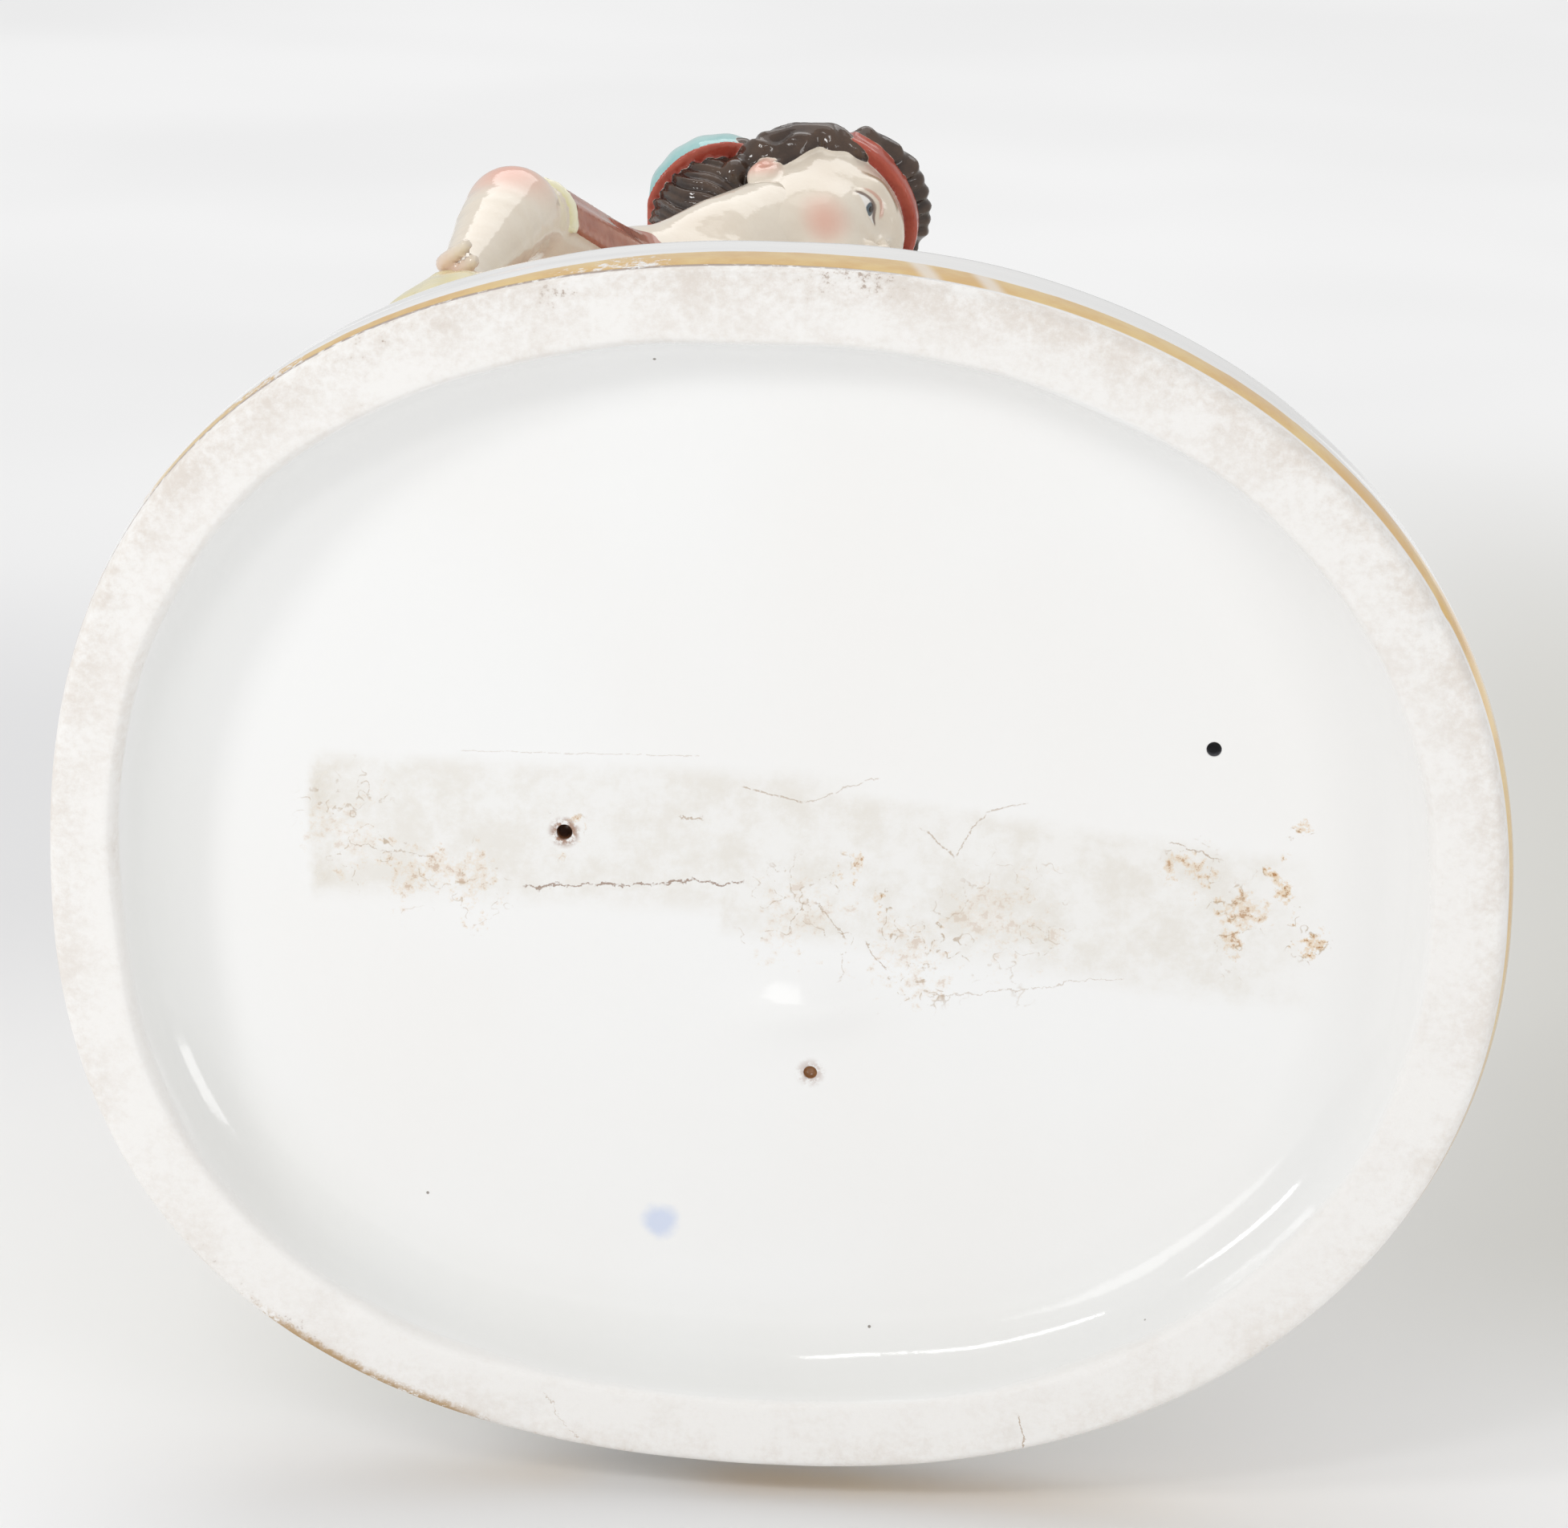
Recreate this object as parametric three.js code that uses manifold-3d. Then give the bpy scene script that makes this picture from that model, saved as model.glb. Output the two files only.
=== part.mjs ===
// A porcelain figure group on an oval base: a seated young woman bends towards a standing child, beside a
// tree stump and a basket of flowers. It is press-moulded in parts, joined with slip and fired as one piece.
// Millimetres, +Z up, the front faces -Y. The origin is on the resting plane, under the middle of the oval.
import * as THREE from "three";
import { mergeVertices } from "three/addons/utils/BufferGeometryUtils.js";
import Module from "manifold-3d";

const wasm = await Module();
wasm.setup();

const point = (x, y, z) => new THREE.Vector3(x, y, z);
const UP = point(0, 0, 1);

// Oval base
const BASE_HALF_LENGTH = 87.5;
const BASE_HALF_DEPTH = 75.2;
const BASE_SQUARENESS = 2.235;
const BASE_UNEVENNESS = 0.0038;
const BASE_SIDES = 52;
const RIM_WIDTH = 8.6;
const RECESS_DEPTH = 8;
const VENT_RADIUS = 0.95;
const VENT_LENGTH = 5;
const VENTS = [point(52.7, -17.5, 0), point(-25.5, -3.6, 0), point(5.1, 25.8, 0)];
const WALL_HEIGHT = 18.2;
const GROUND = 21.8;

// Woman
const HEAD_HEIGHT = 33;
const HEAD = point(-9.5, -49.6, 165);
const HEAD_FORWARD = point(0.895, -0.045, -0.443).normalize();
const HEAD_UP = point(0.41, -0.311, 0.857).normalize();
const FACING = point(0.55, -0.835, 0).normalize();
const ACROSS = point(-0.835, -0.55, 0).normalize();
const WAIST = point(-28, -19, 90);
const CHEST = point(-25.5, -35, 121.5);
const NECK_FOOT = point(-22.5, -43.5, 137);
const NECK_MIDDLE = point(-20, -47.5, 148);
const NECK_TOP = point(-15.5, -50.5, 157);
const SHOULDER_RIGHT = point(-33.5, -47.2, 136.5);
const SHOULDER_LEFT = point(-9.8, -30.5, 138);
const ELBOW_RIGHT = point(-45.5, -62.5, 100);
const WRIST_RIGHT = point(-48.5, -58.5, 76);
const HAND_RIGHT = point(-47.5, -59.5, 63);
const ELBOW_LEFT = point(0.5, -12, 104);
const WRIST_LEFT = point(12, -29, 90.5);
const HAND_LEFT = point(18, -38, 85);
const ARM_RADIUS = 5.9;
const LAP_AHEAD = point(0.8, -0.6, 0);
const LAP_ASIDE = point(-0.6, -0.8, 0);

// Child
const CHILD_HEAD_HEIGHT = 21.5;
const CHILD_HEAD = point(38, -11, 105);
const CHILD_FORWARD = point(-0.86, -0.34, 0.38).normalize();
const CHILD_UP = point(0.34, 0.14, 0.93).normalize();
const CHILD_ARM_RADIUS = 3.9;

// Flower basket
const BASKET = point(52, -38, GROUND - 1.3);
const BASKET_RADIUS = 11;
const BASKET_HEIGHT = 15;

// Turns a closed three.js geometry into a solid, facing outwards.
function solid(geometry) {
  const bare = new THREE.BufferGeometry();
  bare.setAttribute("position", geometry.getAttribute("position").clone());
  if (geometry.index) bare.setIndex(geometry.index.clone());
  const merged = mergeVertices(bare, 1e-4);
  const corners = new Uint32Array(merged.index.array);
  const make = () =>
    new wasm.Manifold(
      new wasm.Mesh({ numProp: 3, vertProperties: merged.attributes.position.array, triVerts: corners }),
    );
  const made = make();
  if (made.volume() > 0) return made;
  for (let i = 0; i < corners.length; i += 3) [corners[i + 1], corners[i + 2]] = [corners[i + 2], corners[i + 1]];
  return make();
}

// Closes a stack of rings, each a list of the same number of points, with a fan at either end.
function loft(rings) {
  const sides = rings[0].length;
  const middle = (ring) => ring.reduce((sum, p) => sum.add(p), point(0, 0, 0)).divideScalar(sides);
  const all = [...rings.flat(), middle(rings[0]), middle(rings.at(-1))];
  const first = all.length - 2;
  const last = all.length - 1;
  const index = [];
  for (let r = 0; r + 1 < rings.length; r++)
    for (let s = 0; s < sides; s++) {
      const a = r * sides + s;
      const b = r * sides + ((s + 1) % sides);
      index.push(a, b, b + sides, a, b + sides, a + sides);
    }
  const top = (rings.length - 1) * sides;
  for (let s = 0; s < sides; s++) {
    const next = (s + 1) % sides;
    index.push(first, next, s, last, top + s, top + next);
  }
  const geometry = new THREE.BufferGeometry().setFromPoints(all);
  geometry.setIndex(index);
  return solid(geometry);
}

// A tapering limb with round ends along a smooth curve. Its section is an oval, wide along across.
function limb(points, radii, { sides = 8, steps = 5, across = UP, wide = 1 } = {}) {
  const curve = new THREE.CatmullRomCurve3(points);
  const radiusAt = (u) => {
    const place = u * (radii.length - 1);
    const below = Math.min(Math.floor(place), radii.length - 2);
    return THREE.MathUtils.lerp(radii[below], radii[below + 1], place - below);
  };
  const ring = (centre, tangent, radius) => {
    const side = across.clone().addScaledVector(tangent, -across.dot(tangent)).normalize();
    const other = tangent.clone().cross(side);
    return Array.from({ length: sides }, (_, i) => {
      const turn = (2 * Math.PI * i) / sides;
      return centre
        .clone()
        .addScaledVector(side, radius * wide * Math.cos(turn))
        .addScaledVector(other, radius * Math.sin(turn));
    });
  };
  const rings = [];
  const cap = (u, sign, turns) => {
    const tangent = curve.getTangent(u);
    const radius = radiusAt(u);
    for (const turn of turns)
      rings.push(
        ring(curve.getPoint(u).addScaledVector(tangent, sign * radius * Math.sin(turn)), tangent, radius * Math.cos(turn)),
      );
  };
  cap(0, -1, [1.25, 0.7]);
  for (let i = 0; i <= steps; i++) rings.push(ring(curve.getPoint(i / steps), curve.getTangent(i / steps), radiusAt(i / steps)));
  cap(1, 1, [0.7, 1.25]);
  return loft(rings);
}

// An ellipsoid with half-sizes along three axes of its own.
function blob(centre, sizes, forward = point(1, 0, 0), up = UP, sides = 10) {
  const side = up.clone().cross(forward).normalize();
  const place = new THREE.Matrix4().makeBasis(forward, side, up.clone()).setPosition(centre);
  const ball = new THREE.SphereGeometry(1, sides, Math.round(sides * 0.7)).rotateX(Math.PI / 2);
  return solid(ball.scale(sizes[0], sizes[1], sizes[2]).applyMatrix4(place));
}

const join = (solids) => solids.reduce((sum, next) => sum.add(next));

// The base's outline, drawn in by an inset. It is a squarish oval, a little fuller towards +X.
function baseRing(inset, height, wave = 0) {
  return Array.from({ length: BASE_SIDES }, (_, i) => {
    const angle = (2 * Math.PI * i) / BASE_SIDES;
    const x = Math.abs(Math.cos(angle) / BASE_HALF_LENGTH) ** BASE_SQUARENESS;
    const y = Math.abs(Math.sin(angle) / BASE_HALF_DEPTH) ** BASE_SQUARENESS;
    const handmade = 1 + BASE_UNEVENNESS * (Math.cos(3 * angle) + Math.cos(5 * angle));
    const reach = (x + y) ** (-1 / BASE_SQUARENESS) * handmade - inset;
    const lift = wave * (Math.sin(3 * angle + 0.6) + 0.7 * Math.sin(7 * angle));
    return point(reach * Math.cos(angle) - 2 * BASE_UNEVENNESS * BASE_HALF_LENGTH, reach * Math.sin(angle), height + lift);
  });
}

// The oval plinth with its low mound.
function base() {
  const levels = [
    [0.9, 0, 0],
    [0, 1.4, 0],
    [0, WALL_HEIGHT - 3, 0],
    [0.15, WALL_HEIGHT, 0.15],
    [0.8, WALL_HEIGHT + 1.6, 0.4],
    [3, WALL_HEIGHT + 2.3, 0.6],
    [9, WALL_HEIGHT + 2.7, 0.7],
    [24, GROUND, 0.8],
    [48, GROUND + 1, 0.5],
  ];
  return loft(levels.map(([inset, height, wave]) => baseRing(inset, height, wave)));
}

// What is taken out below: the recess inside the resting rim, and the vents in its floor.
function hollow() {
  const levels = [
    [RIM_WIDTH - 0.4, -1],
    [RIM_WIDTH, 0],
    [RIM_WIDTH + 1.2, 0.45 * RECESS_DEPTH],
    [RIM_WIDTH + 3.4, 0.8 * RECESS_DEPTH],
    [RIM_WIDTH + 7, RECESS_DEPTH],
  ];
  const vents = VENTS.map(({ x, y }) => {
    const bore = new THREE.CylinderGeometry(VENT_RADIUS, VENT_RADIUS, VENT_LENGTH, 10).rotateX(Math.PI / 2);
    return solid(bore.translate(x, y, RECESS_DEPTH + VENT_LENGTH / 2 - 0.5));
  });
  return join([loft(levels.map(([inset, height]) => baseRing(inset, height))), ...vents]);
}

// A boulder: a lumpy ellipsoid.
function boulder(centre, sizes, sides, seed) {
  const ball = new THREE.SphereGeometry(1, sides, Math.round(sides * 0.6)).rotateX(Math.PI / 2);
  const corners = ball.getAttribute("position");
  for (let i = 0; i < corners.count; i++) {
    const p = point().fromBufferAttribute(corners, i);
    const lump = 1 + 0.07 * Math.sin(5 * p.x + seed) * Math.cos(4 * p.y - seed) + 0.05 * Math.sin(6 * p.z + 3 * p.x + seed);
    corners.setXYZ(i, p.x * lump, p.y * lump, p.z * lump);
  }
  return solid(ball.scale(sizes[0], sizes[1], sizes[2]).translate(centre.x, centre.y, centre.z));
}

function rocks() {
  return join([
    boulder(point(-38, -4, 35), [25, 25, 24.5], 12, 0.5),
    boulder(point(-20, 16, 27.5), [24, 17, 20], 10, 1.7),
    boulder(point(-46, -26, 22.5), [17, 16, 14], 10, 2.4),
    boulder(point(30, 34, GROUND - 2), [17, 13, 8], 10, 3.1),
    boulder(point(-56, 18, GROUND - 2), [14, 12, 8.5], 10, 4.2),
  ]);
}

function stump() {
  const trunk = [point(0, 25, GROUND - 3), point(-2, 23, 45), point(-6, 19, 68), point(-4, 18, 86)];
  return join([
    limb(trunk, [13, 9.5, 8, 8.5], { sides: 12, across: point(1, 0, 0) }),
    limb([point(-4, 20, 58), point(7, 24, 71), point(12, 26, 80)], [5, 4.2, 3.6]),
    limb([point(2, 25, 24), point(16, 34, 20), point(26, 38, 17)], [7, 4.5, 3]),
  ]);
}

// One level of the skirts: an oval along her lap, with folds, that may slope up towards the back.
function skirtRing([height, x, y, ahead, aside, folds, depth, slope]) {
  const sides = 36;
  return Array.from({ length: sides }, (_, i) => {
    const angle = (2 * Math.PI * i) / sides;
    const reach = 1 + depth * (Math.cos(folds * angle + 0.4) + 0.4 * Math.cos((folds - 4) * angle + 1.3));
    return point(x, y, height - slope * Math.cos(angle))
      .addScaledVector(LAP_AHEAD, ahead * reach * Math.cos(angle))
      .addScaledVector(LAP_ASIDE, -aside * reach * Math.sin(angle));
  });
}

// The gown below the waist, its gathered overskirt, and the part of it that she holds up at her side: a swag
// from the hip to her hand, and the pleats that fan out below the hand.
function skirt() {
  const gown = [
    [29, -12, -25, 45, 37, 11, 0.05, 14],
    [38, -12, -25, 43, 36, 11, 0.055, 9],
    [50, -13, -24, 39.5, 34, 11, 0.05, 4],
    [64, -14, -23, 35, 31, 11, 0.035, 2],
    [75, -15, -22, 31, 27, 11, 0.02, 1],
    [82, -17, -21, 25, 20, 11, 0.01, 0],
    [88, -26, -19, 13, 13, 11, 0, 0],
    [94, -28, -19, 9, 10, 11, 0, 0],
  ];
  const overskirt = [
    [50, -28, -16, 22, 24, 9, 0.06, 5],
    [55, -28, -16, 27, 30, 9, 0.06, 4],
    [65, -27, -16, 30, 33, 9, 0.05, 3],
    [76, -26, -17, 28, 29, 9, 0.04, 2],
    [86, -27, -18, 18, 19, 9, 0.03, 0],
    [92, -28, -19, 9.5, 10.5, 9, 0, 0],
  ];
  const swag = [point(-35, -35, 77), point(-42, -46, 66), point(-48.5, -57, 63)];
  const pleats = [point(-48.5, -57.5, 65), point(-50, -56.5, 49), point(-49.5, -53.5, 34)];
  return join([
    loft(gown.map(skirtRing)),
    loft(overskirt.map(skirtRing)),
    limb(swag, [5, 4.4, 2.8], { across: point(0.55, -0.66, -0.51), wide: 2.8, steps: 4 }),
    limb(pleats, [1.8, 3.4, 4.6], { across: point(0.745, -0.667, 0), wide: 3, steps: 4 }),
  ]);
}

// A bent arm with its hand, in one sweep from the shoulder to the finger tips.
function arm(shoulder, elbow, wrist, tip, thickness, across) {
  const path = [shoulder, shoulder.clone().lerp(elbow, 0.6), elbow, elbow.clone().lerp(wrist, 0.5), wrist, wrist.clone().lerp(tip, 0.5), tip];
  const radii = [1.15, 1.08, 0.95, 0.85, 0.6, 0.8, 0.45].map((share) => share * thickness);
  return limb(path, radii, { steps: 8, across });
}

// A head between chin and crown, in levels that each give the profile and half width as shares of its
// height, with the nose drawn out of the front corner. The hair is a cap pushed up and back.
function head(centre, forward, up, height) {
  const side = forward.clone().cross(up);
  const at = (f, s, u) =>
    centre.clone().addScaledVector(forward, f * height).addScaledVector(side, s * height).addScaledVector(up, u * height);
  const sides = 14;
  const levels = [
    [-0.5, 0.3, 0.1, 0.1, 0],
    [-0.44, 0.37, 0.02, 0.17, 0],
    [-0.35, 0.35, -0.06, 0.24, 0],
    [-0.27, 0.37, -0.14, 0.28, 0.02],
    [-0.17, 0.36, -0.28, 0.32, 0.1],
    [-0.02, 0.355, -0.4, 0.345, 0.04],
    [0.1, 0.39, -0.44, 0.35, 0],
    [0.27, 0.36, -0.43, 0.33, 0],
    [0.41, 0.22, -0.3, 0.23, 0],
    [0.49, 0.04, -0.14, 0.09, 0],
  ];
  const rings = levels.map(([u, front, back, width, nose]) =>
    Array.from({ length: sides }, (_, i) => {
      const angle = (2 * Math.PI * i) / sides;
      const f = (front + back) / 2 + ((front - back) / 2) * Math.cos(angle) + (i === 0 ? nose : 0);
      return at(f, -width * Math.sin(angle), u);
    }),
  );
  const part = (place, sizes, roundness) => blob(place, sizes.map((share) => share * height), forward, up, roundness);
  return join([
    loft(rings),
    part(at(-0.07, 0, 0.11), [0.45, 0.39, 0.42], 12),
    part(at(-0.14, 0.34, -0.09), [0.07, 0.05, 0.1], 6),
    part(at(-0.14, -0.34, -0.09), [0.07, 0.05, 0.1], 6),
  ]);
}

function woman() {
  const spine = [point(-28.5, -17, 82), WAIST, CHEST, point(-23.3, -41.5, 134)];
  const bust = CHEST.clone().addScaledVector(FACING, 6.3);
  const knot = HEAD.clone().addScaledVector(HEAD_FORWARD, -14.8).addScaledVector(HEAD_UP, -1.5);
  const sleeve = (shoulder, elbow) => limb([shoulder, shoulder.clone().lerp(elbow, 0.8)], [7.2, 7.2], { sides: 10, steps: 2 });
  return join([
    limb(spine, [11, 9, 11.2, 8], { sides: 14, steps: 8, across: ACROSS, wide: 1.15 }),
    blob(point(-22, -40.5, 139.5), [7, 17.5, 8.5], FACING, UP, 10),
    ...[-5, 5].map((aside) => blob(bust.clone().addScaledVector(ACROSS, aside), [6.2, 6.2, 6.2], FACING, UP, 8)),
    limb([NECK_FOOT, NECK_MIDDLE, NECK_TOP], [8.2, 7, 6.6], { steps: 3, across: ACROSS }),
    limb([NECK_TOP, point(-22, -50.2, 148.5), point(-28.3, -48, 142), SHOULDER_RIGHT], [6, 6.6, 6.6, 6.4], { steps: 3, across: ACROSS }),
    limb([NECK_TOP, point(-16.5, -44, 149), point(-13.5, -37, 143), SHOULDER_LEFT], [5.6, 5.8, 6, 6], { steps: 3, across: ACROSS }),
    sleeve(SHOULDER_RIGHT, ELBOW_RIGHT),
    sleeve(SHOULDER_LEFT, ELBOW_LEFT),
    arm(SHOULDER_RIGHT, ELBOW_RIGHT, WRIST_RIGHT, HAND_RIGHT, ARM_RADIUS, point(1, 0, 0)),
    arm(SHOULDER_LEFT, ELBOW_LEFT, WRIST_LEFT, HAND_LEFT, ARM_RADIUS, UP),
    head(HEAD, HEAD_FORWARD, HEAD_UP, HEAD_HEIGHT),
    blob(knot, [11, 12, 12], HEAD_FORWARD, HEAD_UP),
    skirt(),
  ]);
}

// A small boy, standing against her knee with a hand in her lap.
function child() {
  const across = point(0.34, -0.94, 0);
  return join([
    limb([point(41, -5, 60), point(40, -6, 70), point(41, -6.5, 82), point(40.5, -7, 88)], [8.6, 8.4, 7.6, 5.2], { sides: 12, across, wide: 1.15 }),
    limb([point(40.5, -7, 87), point(39, -9.5, 97)], [4.4, 4.2], { steps: 2 }),
    limb([point(39, -11, 62), point(38, -13, 46), point(40, -12, 24)], [7, 5.4, 3.6], { across }),
    limb([point(42, 2, 62), point(41, 3, 46), point(44, 3, 24)], [7, 5.4, 3.6], { across }),
    limb([point(41, -12, 24), point(33, -15, 23)], [3.8, 2.8], { steps: 2 }),
    limb([point(45, 3, 24), point(37, 1, 23)], [3.8, 2.8], { steps: 2 }),
    arm(point(37, -15, 86), point(29, -24, 80), point(20, -29, 86), point(15, -32, 86), CHILD_ARM_RADIUS, UP),
    arm(point(42, 2, 86), point(48, 10, 76), point(45, 9, 64), point(42, 7, 58), CHILD_ARM_RADIUS, point(1, 0, 0)),
    head(CHILD_HEAD, CHILD_FORWARD, CHILD_UP, CHILD_HEAD_HEIGHT),
  ]);
}

const flower = (x, y, z, size) => blob(point(x, y, z), [size, size, size * 0.72], point(1, 0, 0), UP, 6);

// A round basket that opens upwards, heaped with flowers.
function basket() {
  const profile = [
    [0.72, 0],
    [0.78, 0.1],
    [0.9, 0.6],
    [1.04, 1],
    [0.5, 1.25],
  ];
  const sides = 12;
  const rings = profile.map(([reach, rise]) =>
    Array.from({ length: sides }, (_, i) => {
      const angle = (2 * Math.PI * i) / sides;
      return BASKET.clone().add(point(reach * BASKET_RADIUS * Math.cos(angle), reach * BASKET_RADIUS * Math.sin(angle), rise * BASKET_HEIGHT));
    }),
  );
  const heap = [0, 1, 2, 3, 4].map((i) => {
    const angle = 1.2566 * i;
    return flower(BASKET.x + 6 * Math.cos(angle), BASKET.y + 6 * Math.sin(angle), BASKET.z + BASKET_HEIGHT + 0.6, 5);
  });
  return join([loft(rings), ...heap, flower(BASKET.x, BASKET.y, BASKET.z + BASKET_HEIGHT + 3.5, 5)]);
}

// Single flowers set about on the mound.
function flowers() {
  const places = [
    [-62, 30, 21.5, 4.4],
    [-30, 50, 21.5, 4.6],
    [2, 52, 21.5, 4.4],
    [46, 42, 21.5, 4.6],
    [70, 8, 21.5, 4.2],
    [72, -14, 21.5, 3.8],
    [36, -54, 21.5, 4],
    [-68, 2, 21.5, 4.2],
    [-60, -32, 21.5, 3.8],
  ];
  return join(places.map((place) => flower(...place)));
}

const group = new THREE.Group();
const whole = join([base(), rocks(), stump(), woman(), child(), basket(), flowers()]).subtract(hollow());
const made = whole.getMesh();
const corners = new Float32Array(made.numVert * 3);
for (let i = 0; i < made.numVert; i++) corners.set(made.vertProperties.subarray(i * made.numProp, i * made.numProp + 3), i * 3);
const geometry = new THREE.BufferGeometry();
geometry.setAttribute("position", new THREE.BufferAttribute(corners, 3));
geometry.setIndex(new THREE.BufferAttribute(made.triVerts, 1));
geometry.computeVertexNormals();
const porcelain = new THREE.MeshStandardMaterial({ color: 0xf0efeb, roughness: 0.18, metalness: 0 });
const mesh = new THREE.Mesh(geometry, porcelain);
mesh.name = "figure_group";
group.add(mesh);

export default group;
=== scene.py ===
"""A painted porcelain figure group on an oval base, seen from below as it lies on its back.

A young woman seated on a rock bends towards a child. A tree stump, a basket and applied flowers stand
round them. Everything is one piece of fired porcelain. Sizes are in millimetres until a mesh is made.
"""

import logging
import math
from collections.abc import Callable
from dataclasses import dataclass, field
from enum import Enum
from functools import reduce
from itertools import product
from typing import ClassVar

import bmesh
import bpy
import numpy as np
from mathutils import Matrix, Vector

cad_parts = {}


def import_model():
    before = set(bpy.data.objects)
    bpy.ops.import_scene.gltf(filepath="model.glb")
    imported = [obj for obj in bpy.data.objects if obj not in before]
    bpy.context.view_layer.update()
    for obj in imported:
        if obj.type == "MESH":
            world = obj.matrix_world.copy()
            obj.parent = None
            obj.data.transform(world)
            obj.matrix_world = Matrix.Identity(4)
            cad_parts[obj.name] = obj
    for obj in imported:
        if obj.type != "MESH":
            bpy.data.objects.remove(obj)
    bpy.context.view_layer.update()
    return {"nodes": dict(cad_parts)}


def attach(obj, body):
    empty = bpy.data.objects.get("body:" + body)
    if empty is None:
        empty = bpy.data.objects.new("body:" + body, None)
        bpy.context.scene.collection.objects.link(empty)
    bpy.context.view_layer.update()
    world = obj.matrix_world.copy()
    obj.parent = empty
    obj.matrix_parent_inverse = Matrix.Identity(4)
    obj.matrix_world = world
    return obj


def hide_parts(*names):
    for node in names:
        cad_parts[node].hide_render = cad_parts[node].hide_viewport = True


MM = 0.001
BODY = "root"
NODE = "figure_group"
LOG = logging.getLogger("figure_group")
Array = np.ndarray
Socket = bpy.types.NodeSocket
Piece = bpy.types.Object
Material = bpy.types.Material
Point = tuple[float, float, float]
Colour = tuple[float, float, float]
Rule = Callable[[Array], Array]
Path = tuple[Point, ...]
Limbs = tuple[tuple[Path, tuple[float, ...]], ...]
Rows = tuple[tuple[float, float], ...]
Line = tuple[tuple[float, ...], tuple[float, ...]]
Amount = "Value | float"
CORNERS = tuple(product((0, 1), repeat=3))


def vec(x: float, y: float, z: float) -> Array:
    """Returns a point or direction."""
    return np.array([x, y, z], dtype=float)


def unit(v: Array) -> Array:
    """Returns v at length one."""
    return v / np.linalg.norm(v)


def smooth_step(low: float, high: float, value: Array) -> Array:
    """Rises smoothly from 0 where value is at or under low to 1 where it is at or over high."""
    share = np.clip((value - low) / (high - low), 0.0, 1.0)
    return share * share * (3.0 - 2.0 * share)


def soft_min(a: Array, b: Array, blend: float) -> Array:
    """Returns the lesser of two distances, rounded where they are within blend of each other."""
    share = np.clip(0.5 + 0.5 * (b - a) / blend, 0.0, 1.0)
    return b + (a - b) * share - blend * share * (1.0 - share)


def through(points: Array, count: int) -> Array:
    """Samples a smooth curve through points.

    Args:
        points: The points that the curve meets, in order.
        count: How many samples to take, ends included.

    Returns:
        The samples, one to a row.
    """
    held = np.array([2.0 * points[0] - points[1], *points, 2.0 * points[-1] - points[-2]])
    place = np.linspace(0.0, len(points) - 1, count)
    first = np.minimum(place.astype(int), len(points) - 2)
    t = (place - first)[:, None]
    a, b, c, d = held[first], held[first + 1], held[first + 2], held[first + 3]
    return 0.5 * (2 * b + (c - a) * t + (2 * a - 5 * b + 4 * c - d) * t**2 + (3 * b - a - 3 * c + d) * t**3)


class Form:
    """A closed shape that tells how far points are from its skin, less than nothing inside."""

    def bounds(self) -> tuple[Array, Array]:
        """Returns the lowest and highest corner of the space that the shape takes."""
        raise NotImplementedError

    def far(self, points: Array) -> Array:
        """Returns the distance of each point from the skin."""
        raise NotImplementedError


@dataclass
class Ball(Form):
    """An ellipsoid, with half-sizes along three axes of its own."""

    centre: Array
    radii: Array
    axes: Array = field(default_factory=lambda: np.eye(3))

    def __post_init__(self) -> None:
        """Takes plain numbers for the centre and the half-sizes too."""
        self.centre = np.asarray(self.centre, dtype=float)
        self.radii = np.asarray(self.radii, dtype=float)

    def bounds(self) -> tuple[Array, Array]:
        """Returns the box round the ellipsoid."""
        reach = np.sqrt(((self.axes * self.radii[:, None]) ** 2).sum(axis=0))
        return self.centre - reach, self.centre + reach

    def far(self, points: Array) -> Array:
        """Returns a close estimate of the distance from the ellipsoid."""
        local = (points - self.centre) @ self.axes.T
        near = np.linalg.norm(local / self.radii, axis=-1)
        steep = np.linalg.norm(local / self.radii**2, axis=-1)
        return near * (near - 1.0) / np.maximum(steep, 1e-6)


@dataclass
class Limb(Form):
    """A smooth tapering rod with round ends. Its section is an oval, wide times as wide along across."""

    path: list | tuple
    radii: list[float] | tuple[float, ...]
    across: tuple | Array | None = None
    wide: float = 1.0
    steps: int = 9

    def __post_init__(self) -> None:
        """Works out the short straight runs that the rod is made of."""
        count = self.steps + 1 if len(self.path) > 2 else 2
        spots = np.array(self.path, dtype=float)
        self.spine = through(spots, count) if count > 2 else spots
        self.across = None if self.across is None else unit(np.array(self.across, dtype=float))
        self.thick = np.interp(np.linspace(0, 1, count), np.linspace(0, 1, len(self.radii)), self.radii)

    def bounds(self) -> tuple[Array, Array]:
        """Returns the box round the rod."""
        reach = max(self.radii) * max(self.wide, 1.0)
        return self.spine.min(axis=0) - reach, self.spine.max(axis=0) + reach

    def far(self, points: Array) -> Array:
        """Returns the distance from the rod, least over its runs."""
        best = None
        for a, b, ra, rb in zip(self.spine, self.spine[1:], self.thick, self.thick[1:]):
            run = b - a
            share = np.clip((points - a) @ run / (run @ run), 0.0, 1.0)
            off = points - a - share[..., None] * run
            if self.across is not None:
                aside = off @ self.across
                off = off - (aside * (1.0 - 1.0 / self.wide))[..., None] * self.across
            away = np.sqrt((off**2).sum(axis=-1)) - (ra + (rb - ra) * share)
            best = away if best is None else np.minimum(best, away)
        return best


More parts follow.
